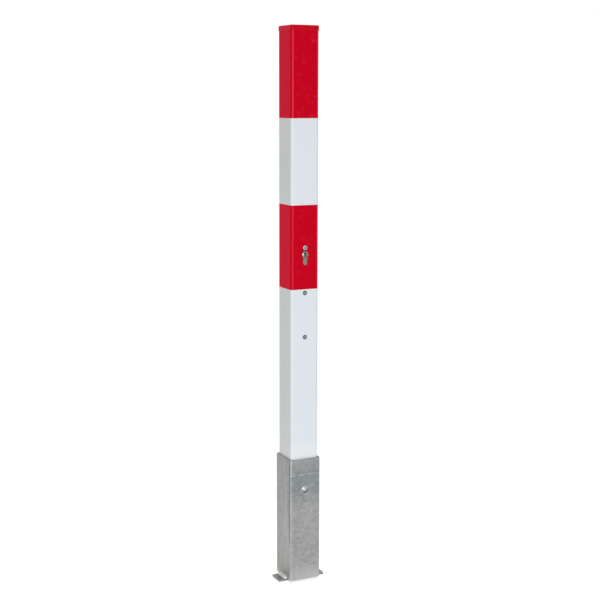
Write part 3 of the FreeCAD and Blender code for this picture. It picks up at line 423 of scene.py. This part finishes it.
def sleeve_foot(tree, split, front, colours):
    """Low on the left side, stained brownish and painted darker as shade, stopping short of the
    weld; and the foot of the front and of the left side, bright where the last zinc drained off."""
    height = (split, 2)
    left = within(tree, (split, 0), SLEEVE_LOW.x - 0.5 * MM, SLEEVE_LOW.x + 1.0 * MM, 0.5 * MM)
    low = add(tree, "ShaderNodeMapRange", {0: height, 1: 15 * MM, 2: 115 * MM, 3: 0.6, 4: 0.0})
    clear = add(tree, "ShaderNodeMapRange", {0: height, 1: 5 * MM, 2: 22 * MM})
    drip = add(tree, "ShaderNodeMapRange", {0: height, 1: 12 * MM, 2: 45 * MM, 3: 0.4, 4: 0.0})
    last = add(tree, "ShaderNodeMapRange", {0: height, 1: 6 * MM, 2: 20 * MM, 3: 0.2, 4: 0.0})
    # Stained brownish and painted darker as shade, low on the left side
    return [(colours.stain_and_shade, low, clear, left), (colours.zinc_bright, drip, front),
            (colours.zinc_bright, last, left)]


def zinc_tones_and_shade(tree, height, front):
    """Tones to multiply by, most of them painted shade: the front is painted darker, and darker
    and bluer in a belt below the run; the sides are painted darker high up, and the strap on
    its top and its sides."""
    belt = within(tree, height, RUN_Z - 38 * MM, RUN_Z + 5 * MM, 45 * MM)
    high = add(tree, "ShaderNodeMapRange", {0: height, 1: 90 * MM, 2: 150 * MM})
    painted_side_shade = add(tree, "ShaderNodeMath", {0: high, 1: front}, operation="SUBTRACT", use_clamp=True)
    strap_top_painted_shadow = within(tree, height, STRAP_HIGH.z - 0.3 * MM, STRAP_HIGH.z, 0.2 * MM)
    strap_side_painted_shade = within(tree, height, STRAP_LOW.z - 1.0 * MM, STRAP_HIGH.z - 0.6 * MM,
                        0.2 * MM)
    # Painted shade on the front, the sides' upper part and the strap's top and sides
    return [(linear("#E9E6E5"), front), (linear("#DAE4E4"), belt, front),
            (linear("#F5F5F5"), painted_side_shade), (linear("#C6C6C4"), strap_top_painted_shadow),
            (linear("#BEBEBC"), strap_side_painted_shade)]


def galvanised():
    """Hot-dip galvanised steel: matt grey zinc with crystals, drained streaks and one thin
    zinc run across the front, with painted glints, painted highlights and painted shade,
    stained a little brown and painted darker low on the left side."""
    colours = bpy.context.scene.post_colours
    bright = colours.zinc_bright
    material, tree, place = new_material("hot_dip_galvanised_steel")
    split = add(tree, "ShaderNodeSeparateXYZ", {0: place})
    height = (split, 2)
    front = add(tree, "ShaderNodeMath", {0: (split, 1), 1: SLEEVE_LOW.y + 2.0 * MM},
                operation="LESS_THAN")
    streaky = add(tree, "ShaderNodeMapRange", {0: front, 3: 0.5, 4: 0.15})
    pattern, cloud = zinc_crystals(tree, place, bpy.context.scene.post_sizes.crystal, streaky)
    darker = add(tree, "ShaderNodeMapRange", {0: pattern, 1: 0.35, 2: 0.61, 3: 1.0, 4: 0.0})
    glints, speck = zinc_glints(tree, place, height, front, bright)
    run_lines, run = zinc_run(tree, place, height, front, cloud, colours)
    coat = layered(tree, colours.zinc, [
        (colours.zinc_dark, darker),
        # Painted glints
        *glints,
        *zinc_edges(tree, split, bright),
        *run_lines,
        *painted_hole_highlight(tree, place, height, front),
        *sleeve_foot(tree, split, front, colours),
    ])
    toned = layered(tree, coat, zinc_tones_and_shade(tree, height, front), "MULTIPLY")
    rough = add(tree, "ShaderNodeMapRange", {0: pattern, 1: 0.35, 2: 0.65, 3: 0.56, 4: 0.44})
    relief = add(tree, "ShaderNodeMath", {0: run, 1: 0.8, 2: speck}, operation="MULTIPLY_ADD")
    return close_material(material, {"Base Color": toned, "Metallic": 0.5,
                          "Roughness": rough}, (relief, 0.3, 0.15 * MM))


def galvanised_weld():
    """Hot-dip zinc over a weld bead: brighter and smoother than the plate, with lumps."""
    colours = bpy.context.scene.post_colours
    material, tree, place = new_material("hot_dip_galvanised_weld")
    lump = add(tree, "ShaderNodeTexNoise", {"Vector": place, "Scale": per_metre(3.0 * MM),
               "Detail": 4.0, "Roughness": 0.6})
    bead = layered(tree, colours.zinc_bright, [(colours.zinc, lump)])
    return close_material(material, {"Base Color": bead, "Metallic": 0.3, "Roughness": 0.3},
                          (lump, 0.5, 0.2 * MM))


# Finishes of the lock and its bolt

def nickelled_brass():
    """Satin nickel on a drawn brass profile: warm grey metal, its marks along the lock."""
    nickel = bpy.context.scene.post_colours.nickel
    material, _, _, inputs = drawn_metal("satin_nickel_on_brass", nickel, linear("#7E786F"),
                                         0.26, (1.0, 0.1, 1.0))
    return close_material(material, inputs)


def nickelled_plug():
    """Turned nickel silver, worn by the key: a little paler than the lock's body, with graphite
    from the key and painted shade round the mouth of the keyway."""
    silver = bpy.context.scene.post_colours.plug
    material, tree, place, inputs = drawn_metal("worn_nickel_plug", silver, linear("#827C73"),
                                                0.28, (1.0, 0.1, 1.0))
    split = add(tree, "ShaderNodeSeparateXYZ", {0: place})
    across = within(tree, (split, 0), -1.5 * MM, 1.0 * MM, 0.5 * MM)
    upright = within(tree, (split, 2), PLUG_AXIS_Z - 3.4 * MM, PLUG_AXIS_Z + 4.0 * MM, 0.8 * MM)
    # Partly graphite, partly painted shade of the keyway
    graphite_and_keyway_shade = (linear("#1E1D1C"), across, upright, 0.8)
    inputs["Base Color"] = layered(tree, inputs["Base Color"], [graphite_and_keyway_shade])
    return close_material(material, inputs)


def keyway_shade_and_graphite():
    """Graphite and dirt in the keyway, with painted shade: black and dull, so that the eye sees a
    deep slot.
    """
    material, tree, place = new_material("shade_and_graphite_in_keyway")
    dust = add(tree, "ShaderNodeTexNoise", {"Vector": place, "Scale": per_metre(0.8 * MM),
               "Detail": 3.0, "Roughness": 0.6})
    black = layered(tree, linear("#060606"), [(linear("#141414"), dust)])
    return close_material(material, {"Base Color": black, "Roughness": 0.8, "IOR": 1.5,
                                     "Specular IOR Level": 0.1})


def bolt_nose():
    """Bright zinc plate on a turned bolt: nearly white, with painted shade towards the lower
    right of its nose."""
    material, tree, place, inputs = drawn_metal(
        "bright_zinc_on_turned_steel", linear("#F4F4F2"), linear("#E2E2DF"), 0.3)
    split = add(tree, "ShaderNodeSeparateXYZ", {0: place})
    falling = add(tree, "ShaderNodeMath", {0: (split, 0), 1: (split, 2)}, operation="SUBTRACT")
    painted_low_right_shade = add(tree, "ShaderNodeMapRange", {0: falling, 1: -BOLT_AXIS_Z - 1 * MM,
                    2: -BOLT_AXIS_Z + 3 * MM})
    # Painted shade towards the lower right of the nose
    shaded_nose = layered(tree, inputs["Base Color"], [(linear("#AEAEAC"), painted_low_right_shade)])
    return close_material(material, {**inputs, "Base Color": shaded_nose, "Metallic": 0.6})


def turned_steel():
    """Bare steel off the lathe: fine rings about the bolt's axis that catch the light, and a
    painted highlight, nearly white, at the upper left."""
    material, tree, place = new_material("turned_steel")
    centred = add(tree, "ShaderNodeMapping", {"Vector": place,
                  "Location": (0.0, 0.0, -BOLT_AXIS_Z)})
    # Real feed marks are 0.1 mm apart. They are drawn 1.18 mm apart so that they show.
    rings = add(tree, "ShaderNodeTexWave", {"Vector": centred, "Distortion": 0.6,
                "Detail": 2.0, "Scale": waves_per_metre(1.18 * MM)},
                wave_type="RINGS", rings_direction="Y")
    split = add(tree, "ShaderNodeSeparateXYZ", {0: place})
    upper = add(tree, "ShaderNodeMapRange", {0: (split, 2), 1: BOLT_AXIS_Z - 4 * MM,
                2: BOLT_AXIS_Z + 2 * MM})
    leftmost = add(tree, "ShaderNodeMapRange", {0: (split, 0), 1: -2 * MM, 2: 10 * MM,
                   3: 1.0, 4: 0.85})
    steel = layered(tree, bpy.context.scene.post_colours.steel, [
        (linear("#A2A2A0"), (rings, "Fac")),
        # Painted highlight at the upper left
        (linear("#FAFAF8"), upper, leftmost),
    ])
    return close_material(material, {"Base Color": steel, "Metallic": 0.35,
                          "Roughness": 0.34}, ((rings, "Fac"), 0.3, 0.02 * MM))


def sintered_steel():
    """Sintered steel: matt dark grey with fine open pores."""
    material, tree, place = new_material("sintered_steel")
    # Real pores are about 0.1 mm wide. They are drawn at 0.7 mm so that they show.
    pores = add(tree, "ShaderNodeTexVoronoi", {"Vector": place, "Randomness": 1.0,
                "Scale": per_metre(0.7 * MM)})
    grey = layered(tree, linear("#3C3D3F"), [(bpy.context.scene.post_colours.sinter, pores)])
    return close_material(material, {"Base Color": grey, "Metallic": 1.0, "Roughness": 0.6},
                          (pores, 0.4, 0.05 * MM))


# Finishes of the screws, the rivets and the pieces inside

def zinc_plate():
    """Electroplated zinc with a clear blue passivation: bright cool grey, even and satin."""
    material, _, _, inputs = drawn_metal(
        "bright_zinc_plate", bpy.context.scene.post_colours.plated, linear("#9E9E9C"), 0.3,
        (1.0, 1.0, 0.3))
    return close_material(material, inputs)


def socket_screw():
    """Zinc plated screw whose socket is painted darker: painted shade and a little grime."""
    material, tree, place, inputs = drawn_metal(
        "bright_zinc_socket_screw", bpy.context.scene.post_colours.plated,
        linear("#9E9E9C"), 0.3)
    split = add(tree, "ShaderNodeSeparateXYZ", {0: place})
    inner = within(tree, from_axis(tree, place, 0.0, SCREW_AXIS_Z), 0.0, 1.9 * MM, 0.3 * MM)
    deep = within(tree, (split, 1), SCREW_LOW.y + 0.8 * MM, SCREW_HIGH.y, 0.5 * MM)
    # Painted shade and a little grime in the socket
    socket_shade_and_grime = (linear("#5A5A58"), inner, deep)
    inputs["Base Color"] = layered(tree, inputs["Base Color"], [socket_shade_and_grime])
    return close_material(material, inputs)


def rivet_steel():
    """Dull zinc on a steel blind rivet: a dark grey head."""
    dull = bpy.context.scene.post_colours.rivet
    material, _, _, inputs = drawn_metal("dull_rivet_steel", dull, linear("#54585A"), 0.42)
    return close_material(material, inputs)


def broken_mandrel():
    """The rivet's mandrel where it broke off: a rough, pale fracture."""
    material, tree, place = new_material("broken_mandrel_steel")
    # The real fracture's grit is under 0.1 mm. It is drawn at 0.4 mm so that it shows.
    grit = add(tree, "ShaderNodeTexNoise", {"Vector": place, "Scale": per_metre(0.4 * MM),
               "Detail": 3.0, "Roughness": 0.7})
    pale = layered(tree, linear("#B9BAB8"), [(linear("#E6E7E5"), grit)])
    return close_material(material, {"Base Color": pale, "Metallic": 0.4, "Roughness": 0.6},
                          (grit, 0.6, 0.08 * MM))


def black_acetal():
    """Turned black acetal: near black, slightly waxy, with faint tool marks."""
    material, tree, place = new_material("black_acetal")
    # Real tool marks are about 0.2 mm apart. They are drawn 1.58 mm apart so that they
    # show.
    marks = add(tree, "ShaderNodeTexWave", {"Vector": place, "Distortion": 0.5,
                "Scale": waves_per_metre(1.58 * MM)}, bands_direction="Z")
    black = layered(tree, bpy.context.scene.post_colours.acetal,
                    [(linear("#1C1C1E"), (marks, "Fac"))])
    return close_material(material, {"Base Color": black, "Roughness": 0.42, "IOR": 1.48},
                          ((marks, "Fac"), 0.3, 0.03 * MM))


FINISHES = {
    "galvanised_steel": galvanised,
    "galvanised_weld": galvanised_weld,
    "white_powder_coat": powder_coat,
    "red_plastic": moulded_cap,
    "red_film": red_film,
    "nickelled_brass": nickelled_brass,
    "nickelled_plug": nickelled_plug,
    "keyway_shade_and_graphite": keyway_shade_and_graphite,
    "sintered_steel": sintered_steel,
    "zinc_plated_steel": zinc_plate,
    "turned_steel": turned_steel,
    "black_acetal": black_acetal,
    "socket_screw": socket_screw,
    "dull_rivet": rivet_steel,
    "broken_mandrel": broken_mandrel,
    "bolt_nose": bolt_nose,
}
made_finishes = {}


def finish(key):
    """The material of a slot or a look, made the first time it is asked for."""
    if key not in made_finishes:
        made_finishes[key] = FINISHES[key]()
    return made_finishes[key]


# Helpers for meshes

def shade_smooth(bm, sharp_degrees=32.0):
    """Smooth shading, broken at edges sharper than the given angle."""
    for face in bm.faces:
        face.smooth = True
    limit = math.radians(sharp_degrees)
    for edge in bm.edges:
        edge.smooth = edge.calc_face_angle(math.pi) < limit


def finished_piece(bm, name, body, slot, node, looks=None):
    """Turns a bmesh into a piece that rides on a body and stands for a CAD node. The looks
    are its finishes, where they aren't just the slot's own."""
    bmesh.ops.remove_doubles(bm, verts=bm.verts, dist=NEW_MERGE)
    bmesh.ops.recalc_face_normals(bm, faces=bm.faces)
    shade_smooth(bm)
    mesh = bpy.data.meshes.new(name)
    bm.to_mesh(mesh)
    bm.free()
    for look in looks or (slot,):
        mesh.materials.append(finish(look))
    piece = bpy.data.objects.new(name, mesh)
    bpy.context.scene.collection.objects.link(piece)
    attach(piece, body)
    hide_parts(node)


def rounded_copy(node, width, back=math.inf):
    """A merged copy of a CAD node, bevelled at its sharp edges in front of y = back."""
    flat_angle = math.radians(0.6)
    sharp_angle = math.radians(40)
    bm = bmesh.new()
    bm.from_mesh(frame["nodes"][node].data)
    bmesh.ops.remove_doubles(bm, verts=bm.verts, dist=CAD_MERGE)
    bmesh.ops.dissolve_limit(bm, angle_limit=flat_angle, verts=bm.verts, edges=bm.edges)
    sharp = [e for e in bm.edges if e.calc_face_angle(0.0) > sharp_angle
             and max(v.co.y for v in e.verts) < back]
    bmesh.ops.bevel(bm, geom=sharp, offset=width, offset_type="OFFSET", segments=3,
                    profile=0.5, affect="EDGES", clamp_overlap=True, material=-1)
    return bm


def spin_profile(bm, profile, centre, steps):
    """Spins a profile of (radius, y) points once round the line through centre along Y."""
    points = [bm.verts.new((centre.x + radius, y, centre.z)) for radius, y in profile]
    edges = [bm.edges.new(pair) for pair in zip(points, points[1:])]
    bmesh.ops.spin(bm, geom=points + edges, cent=centre, axis=(0.0, 1.0, 0.0),
                   angle=math.tau, steps=steps, use_merge=True)


def dome(radius, height, flat_radius, y_base, count=10):
    """Points of a domed head that rises towards -Y from its rim to a small flat."""
    points = []
    for i in range(count + 1):
        turn = math.pi / 2 * i / count
        points.append((flat_radius + (radius - flat_radius) * math.cos(turn),
                       y_base - height * math.sin(turn)))
    return points


# The operators, one for each piece or group of like pieces

class POST_OT_finish_nodes(bpy.types.Operator):
    """Puts the finishes on the pieces that come from the CAD frame as they are"""
    bl_idname = "post.finish_nodes"
    bl_label = "Finish the CAD pieces"

    def execute(self, context):
        slot_of = {part["node"]: part["material_slot"] for part in frame["record"]["subparts"]}
        for name, piece in frame["nodes"].items():
            own_finish = "socket_screw" if name == "upper_screw" else slot_of[name]
            for slot in piece.material_slots:
                slot.material = finish(own_finish)
        return {"FINISHED"}


class POST_OT_weld_beads(bpy.types.Operator):
    """Models the two weld beads between the sleeve and the strap, with their ripples"""
    bl_idname = "post.weld_beads"
    bl_label = "Weld beads"

    slice_length = 0.45 * MM
    slope_cuts = 11
    ripple_bow = 1.4 * MM
    ripple_middle = 0.7
    lumps_per_metre = 260.0
    lump_height = 0.35 * MM
    # Lengths from an end over which the crown fades and the section shrinks, down to this
    # share of its area
    fading = 4.5 * MM
    tapering = 5.0 * MM
    end_area = 0.08

    def execute(self, context):
        for node, side in (("weld_left", -1.0), ("weld_right", 1.0)):
            low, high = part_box(node)
            wall_x = high.x if side < 0 else low.x
            bm = self.fillet(low, high, wall_x, side)
            self.crown(bm, low, high, wall_x, side, context.scene.post_sizes)
            self.taper(bm, low, high, wall_x)
            finished_piece(bm, node + "_bead", "sleeve", "galvanised_weld", node)
        return {"FINISHED"}

    def fillet(self, low, high, wall_x, side):
        """A three-sided bar in the corner, cut into fine slices."""
        leg = high.x - low.x
        length = high.y - low.y
        bm = bmesh.new()
        bmesh.ops.create_circle(bm, cap_ends=True, radius=1.0, segments=3)
        bm.verts.ensure_lookup_table()
        corners = [(wall_x, low.z), (wall_x + side * leg, low.z), (wall_x, low.z + leg)]
        for vertex, (x, z) in zip(bm.verts, corners):
            vertex.co = (x, low.y, z)
        grown = bmesh.ops.extrude_face_region(bm, geom=bm.faces[:])
        far = [g for g in grown["geom"] if isinstance(g, bmesh.types.BMVert)]
        bmesh.ops.translate(bm, verts=far, vec=(0.0, length, 0.0))
        along = [e for e in bm.edges if abs(e.verts[0].co.y - e.verts[1].co.y) > length / 2]
        bmesh.ops.subdivide_edges(bm, edges=along, cuts=int(length / self.slice_length),
                                  use_grid_fill=True)
        slopes = [e for e in bm.edges if abs(e.verts[0].co.x - e.verts[1].co.x) > leg / 2
                  and abs(e.verts[0].co.z - e.verts[1].co.z) > leg / 2]
        bmesh.ops.subdivide_edges(bm, edges=slopes, cuts=self.slope_cuts, use_grid_fill=True)
        return bm

    def crown(self, bm, low, high, wall_x, side, sizes):
        """Pushes the bar's slope out into a rippled, slightly uneven crown."""
        leg = high.x - low.x
        outward = Vector((side, 0.0, 1.0)).normalized()
        for vertex in bm.verts:
            place = vertex.co
            out = abs(place.x - wall_x) / leg
            up = (place.z - low.z) / leg
            on_slope = out + up > 0.99
            if not on_slope:
                continue
            # 1 along the middle of the slope and 0 at its two toes
            across = 4.0 * out * up
            step = (place.y + self.ripple_bow * (1.0 - across)) / sizes.ripple
            ripple = math.sqrt(max(0.0, 1.0 - (2.0 * (step % 1.0) - 1.0) ** 2))
            uneven = noise.noise(place * self.lumps_per_metre) * self.lump_height
            from_end = min(place.y - low.y, high.y - place.y)
            ending = min(1.0, from_end / self.fading)
            rippled = sizes.ripple_height * (ripple - self.ripple_middle)
            push = across * (sizes.weld_crown + rippled + uneven)
            vertex.co += outward * push * ending ** 0.5

    def taper(self, bm, low, high, wall_x):
        """Shrinks the bar towards the corner at both ends."""
        for vertex in bm.verts:
            from_end = min(vertex.co.y - low.y, high.y - vertex.co.y)
            shrink = math.sqrt(min(1.0, self.end_area + from_end / self.tapering))
            vertex.co.x = wall_x + (vertex.co.x - wall_x) * shrink
            vertex.co.z = low.z + (vertex.co.z - low.z) * shrink


class POST_OT_rivets(bpy.types.Operator):
    """Turns the two blind rivets below the lock: domed head, mandrel stub, shank and bulb"""
    bl_idname = "post.rivets"
    bl_label = "Blind rivets"

    core = 1.7 * MM
    shank = 2.5 * MM
    bulb = 4.0 * MM
    bulb_length = 6.0 * MM
    rim_height = 0.35 * MM
    flat_radius = 2.0 * MM

    def execute(self, context):
        for node in ("guide_rivet_high", "guide_rivet_low"):
            low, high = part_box(node)
            centre = Vector((0.0, 0.0, (low.z + high.z) / 2))
            bm = bmesh.new()
            spin_profile(bm, self.profile(low, high), centre,
                         context.scene.post_sizes.turned_steps)
            for face in bm.faces:
                middle = face.calc_center_median()
                away = math.hypot(middle.x, middle.z - centre.z)
                if away < self.core and middle.y < TUBE_FACE_Y:
                    face.material_index = 1
            finished_piece(bm, node + "_turned", "post", "zinc_plated_steel", node,
                           ("dull_rivet", "broken_mandrel"))
        return {"FINISHED"}

    def profile(self, low, high):
        """Points of (radius, y) from the bulb's end, round the head and to the broken stub."""
        core, shank, bulb = self.core, self.shank, self.bulb
        front, end = low.y, high.y
        bulb_start = end - self.bulb_length
        radius = (high.x - low.x) / 2
        rim_y = TUBE_FACE_Y - self.rim_height
        inside = [(0.0, end), (bulb - 1.6 * MM, end), (bulb - 0.5 * MM, end - 0.4 * MM),
                  (bulb, end - 1.6 * MM), (bulb - 0.3 * MM, bulb_start + 1.0 * MM),
                  (shank, bulb_start), (shank, TUBE_FACE_Y), (radius, TUBE_FACE_Y)]
        head = dome(radius, rim_y - front, self.flat_radius, rim_y)
        mouth = [(core + 0.15 * MM, front), (core, front + 0.2 * MM),
                 (core, front + 0.9 * MM)]
        stub = [(core - 0.15 * MM, front + 0.5 * MM), (core - 0.5 * MM, front + 0.15 * MM),
                (0.0, front + 0.1 * MM)]
        return inside + head + mouth + stub


class POST_OT_zinc_edges(bpy.types.Operator):
    """Rounds the cut edges of the galvanised sleeve and strap, as their zinc does"""
    bl_idname = "post.zinc_edges"
    bl_label = "Sleeve and strap"

    def execute(self, context):
        for node in ("ground_sleeve", "base_strap"):
            bm = rounded_copy(node, context.scene.post_sizes.edge)
            finished_piece(bm, node + "_rounded", "sleeve", "galvanised_steel", node)
        return {"FINISHED"}


class POST_OT_bolt(bpy.types.Operator):
    """Rounds the bolt's nose and sinks the lathe's centre hole in it"""
    bl_idname = "post.bolt"
    bl_label = "Bolt"

    nose_length = 3.0 * MM
    # Share of the centre hole's width that is left at its bottom
    hole_bottom = 0.1

    def execute(self, context):
        sizes = context.scene.post_sizes
        bm = rounded_copy("lock_bolt", sizes.nose, BOLT_LOW.y + self.nose_length)
        nose = min(bm.faces, key=lambda face: face.calc_center_median().y)
        middle = nose.calc_center_median()
        radius = max((v.co - middle).length for v in nose.verts)
        bmesh.ops.inset_region(bm, faces=[nose], thickness=radius - sizes.centre_hole)
        bmesh.ops.translate(bm, verts=nose.verts, vec=(0.0, sizes.centre_hole, 0.0))
        bmesh.ops.scale(bm, verts=nose.verts, vec=(self.hole_bottom, 1.0, self.hole_bottom),
                        space=Matrix.Translation(-middle))
        finished_piece(bm, "lock_bolt_rounded", "bolt", "zinc_plated_steel", "lock_bolt",
                       ("bolt_nose",))
        return {"FINISHED"}


class POST_OT_lock_body(bpy.types.Operator):
    """Rounds the front edge of the lock's body"""
    bl_idname = "post.lock_body"
    bl_label = "Lock body"

    def execute(self, context):
        bm = rounded_copy("cylinder_body", context.scene.post_sizes.lock_edge,
                          LOCK_LOW.y + 1.0 * MM)
        finished_piece(bm, "cylinder_body_rounded", "post", "nickelled_brass",
                       "cylinder_body")
        return {"FINISHED"}


class POST_OT_plug(bpy.types.Operator):
    """Gives the lock's plug its slightly domed face, and its keyway the graphite and painted shade
    """
    bl_idname = "post.plug"
    bl_label = "Domed plug"

    face_cuts = 4
    # Faces behind the front, within this share of the radius, are the keyway's
    keyway_reach = 0.9
    keyway_depth = 30 * MM

    def execute(self, context):
        dome_height = context.scene.post_sizes.plug_dome
        bm = bmesh.new()
        bm.from_mesh(frame["nodes"]["cylinder_plug"].data)
        bmesh.ops.remove_doubles(bm, verts=bm.verts, dist=CAD_MERGE)
        face_y = PLUG_LOW.y + 0.01 * MM
        front = [e for e in bm.edges if max(v.co.y for v in e.verts) < face_y]
        bmesh.ops.subdivide_edges(bm, edges=front, cuts=self.face_cuts, use_grid_fill=True)
        radius = (PLUG_HIGH.x - PLUG_LOW.x) / 2
        for vertex in bm.verts:
            if vertex.co.y < face_y:
                away = math.hypot(vertex.co.x, vertex.co.z - PLUG_AXIS_Z) / radius
                vertex.co.y += dome_height * away ** 2
        for face in bm.faces:
            middle = face.calc_center_median()
            away = math.hypot(middle.x, middle.z - PLUG_AXIS_Z) / radius
            front_y = PLUG_LOW.y + dome_height * away ** 2
            depth = middle.y - front_y
            if away < self.keyway_reach and 0.1 * MM < depth < self.keyway_depth:
                face.material_index = 1
        finished_piece(bm, "cylinder_plug_domed", "plug", "nickelled_plug", "cylinder_plug",
                       ("nickelled_plug", "keyway_shade_and_graphite"))
        return {"FINISHED"}


class POST_OT_stage(bpy.types.Operator):
    """Sets the camera, the lamps, the room's light and the floor"""
    bl_idname = "post.stage"
    bl_label = "Stage"

    # The camera, as found from the straight edges: degrees, metres and millimetres of lens
    azimuth = -25.792
    distance = 2.9005
    height = 1.1591
    pitch = 9.3208
    pan = -0.0801
    roll = 0.0944
    lens = 74.678
    sensor = 36.0

    # The post's middle, where the lamps aim
    middle = Vector((0.0, 0.0, 0.62))

    def execute(self, context):
        scene = context.scene
        stage = scene.post_stage
        self.camera(scene)
        # Azimuth and elevation in degrees, then distance, width and height in metres
        self.lamp("key_lamp", (-16.0, 2.6), 4.0, (1.3, 1.9), stage.key, "#EAF4FF")
        self.lamp("side_softbox", (-60.0, 3.0), 2.7, (0.6, 2.2), stage.side, "#FFF2E0")
        self.lamp("top_softbox", (-20.0, 78.0), 2.6, (1.4, 1.4), stage.top, "#FFFFFF")
        self.lamp("back_lamp", (150.0, 48.0), 3.6, (2.0, 2.0), stage.back, "#FFFFFF")
        self.room(scene, stage)
        self.floor(scene, stage)
        return {"FINISHED"}

    def camera(self, scene):
        data = bpy.data.cameras.new("camera")
        data.sensor_width = self.sensor
        data.lens = self.lens
        data.clip_end = 50.0
        camera = bpy.data.objects.new("camera", data)
        turn = math.radians(self.azimuth)
        camera.location = (self.distance * math.sin(turn), -self.distance * math.cos(turn),
                           self.height)
        aim = Euler((math.radians(90.0 - self.pitch), 0.0,
                     math.radians(self.azimuth + self.pan)))
        turned = aim.to_matrix() @ Matrix.Rotation(math.radians(self.roll), 3, "Z")
        camera.rotation_euler = turned.to_euler()
        scene.collection.objects.link(camera)
        scene.camera = camera
        scene.view_settings.view_transform = "Standard"

    def lamp(self, name, direction, distance, size, power, colour):
        """An area lamp aimed at the post's middle."""
        data = bpy.data.lights.new(name, "AREA")
        data.shape = "RECTANGLE"
        data.size, data.size_y = size
        data.energy = power
        data.color = linear(colour)[:3]
        lamp = bpy.data.objects.new(name, data)
        turn, lift = (math.radians(angle) for angle in direction)
        away = Vector((math.sin(turn) * math.cos(lift), -math.cos(turn) * math.cos(lift),
                       math.sin(lift)))
        lamp.location = self.middle + away * distance
        lamp.rotation_euler = away.to_track_quat("Z", "Y").to_euler()
        bpy.context.scene.collection.objects.link(lamp)

    def shown(self, tree):
        """1 for rays that show the background: from the camera, a gloss or through glass."""
        ray = add(tree, "ShaderNodeLightPath")
        seen = add(tree, "ShaderNodeMath", {0: (ray, "Is Glossy Ray"),
                   1: (ray, "Is Transmission Ray")}, operation="MAXIMUM")
        return add(tree, "ShaderNodeMath", {0: (ray, "Is Camera Ray"), 1: seen},
                   operation="MAXIMUM")

    def room(self, scene, stage):
        """White to the camera and in reflections, and a soft light from all round."""
        world = bpy.data.worlds.new("room")
        world.use_nodes = True
        tree = world.node_tree
        tree.nodes.clear()
        soft = add(tree, "ShaderNodeBackground", {"Color": linear("#FBFAF4"),
                   "Strength": stage.surround})
        white = add(tree, "ShaderNodeBackground", {"Color": linear("#FFFFFF"), "Strength": 1.0})
        light = add(tree, "ShaderNodeMixShader", {0: self.shown(tree), 1: soft, 2: white})
        add(tree, "ShaderNodeOutputWorld", {"Surface": light})
        scene.world = world

    def floor(self, scene, stage):
        """A round white floor that keeps the post's shadow."""
        bm = bmesh.new()
        bmesh.ops.create_circle(bm, cap_ends=True, radius=stage.floor_radius, segments=96)
        mesh = bpy.data.meshes.new("floor")
        bm.to_mesh(mesh)
        bm.free()
        mesh.materials.append(self.white_floor(stage))
        floor = bpy.data.objects.new("floor", mesh)
        scene.collection.objects.link(floor)

    def white_floor(self, stage):
        """White studio paper: matt, lifted towards white, and plain white further out."""
        material, tree, place = new_material("white_floor")
        shown = self.shown(tree)
        strength = add(tree, "ShaderNodeMapRange", {0: shown, 3: stage.surround,
                       4: stage.floor_glow})
        paper = add(tree, "ShaderNodeBsdfDiffuse", {"Color": linear("#ECECEC")})
        glow = add(tree, "ShaderNodeEmission", {"Color": linear("#FFFFFF"), "Strength": strength})
        near = add(tree, "ShaderNodeAddShader", {0: paper, 1: glow})
        far = add(tree, "ShaderNodeEmission", {"Color": linear("#FFFFFF"), "Strength": 1.0})
        radius = add(tree, "ShaderNodeVectorMath", {0: place}, operation="LENGTH")
        outward = add(tree, "ShaderNodeMapRange", {0: (radius, "Value"), 1: stage.floor_near,
                      2: stage.floor_far})
        plain = add(tree, "ShaderNodeMath", {0: outward, 1: shown}, operation="MULTIPLY")
        ground = add(tree, "ShaderNodeMixShader", {0: plain, 1: near, 2: far})
        add(tree, "ShaderNodeOutputMaterial", {"Surface": ground})
        return material


class POST_PT_panel(bpy.types.Panel):
    """Lists the steps that finish the post"""
    bl_idname = "POST_PT_panel"
    bl_label = "Barrier post"
    bl_space_type = "VIEW_3D"
    bl_region_type = "UI"
    bl_category = "Post"

    def draw(self, context):
        for operator in OPERATORS:
            self.layout.operator(operator.bl_idname)
        for group_name in GROUPS:
            group = getattr(context.scene, group_name)
            column = self.layout.column()
            for name in group.__annotations__:
                column.prop(group, name)


GROUPS = {"post_colours": PostColours, "post_sizes": PostSizes, "post_stage": PostStage}
OPERATORS = (POST_OT_finish_nodes, POST_OT_weld_beads, POST_OT_rivets, POST_OT_zinc_edges,
             POST_OT_bolt, POST_OT_lock_body, POST_OT_plug, POST_OT_stage)
CLASSES = (*GROUPS.values(), *OPERATORS, POST_PT_panel)


def register():
    for cls in CLASSES:
        bpy.utils.register_class(cls)
    for group_name, group in GROUPS.items():
        setattr(bpy.types.Scene, group_name, PointerProperty(type=group))


def unregister():
    for group_name in GROUPS:
        delattr(bpy.types.Scene, group_name)
    for cls in reversed(CLASSES):
        bpy.utils.unregister_class(cls)


def main():
    register()
    bpy.ops.post.finish_nodes()
    bpy.ops.post.weld_beads()
    bpy.ops.post.rivets()
    bpy.ops.post.zinc_edges()
    bpy.ops.post.bolt()
    bpy.ops.post.lock_body()
    bpy.ops.post.plug()
    bpy.ops.post.stage()


if __name__ == "__main__":
    main()
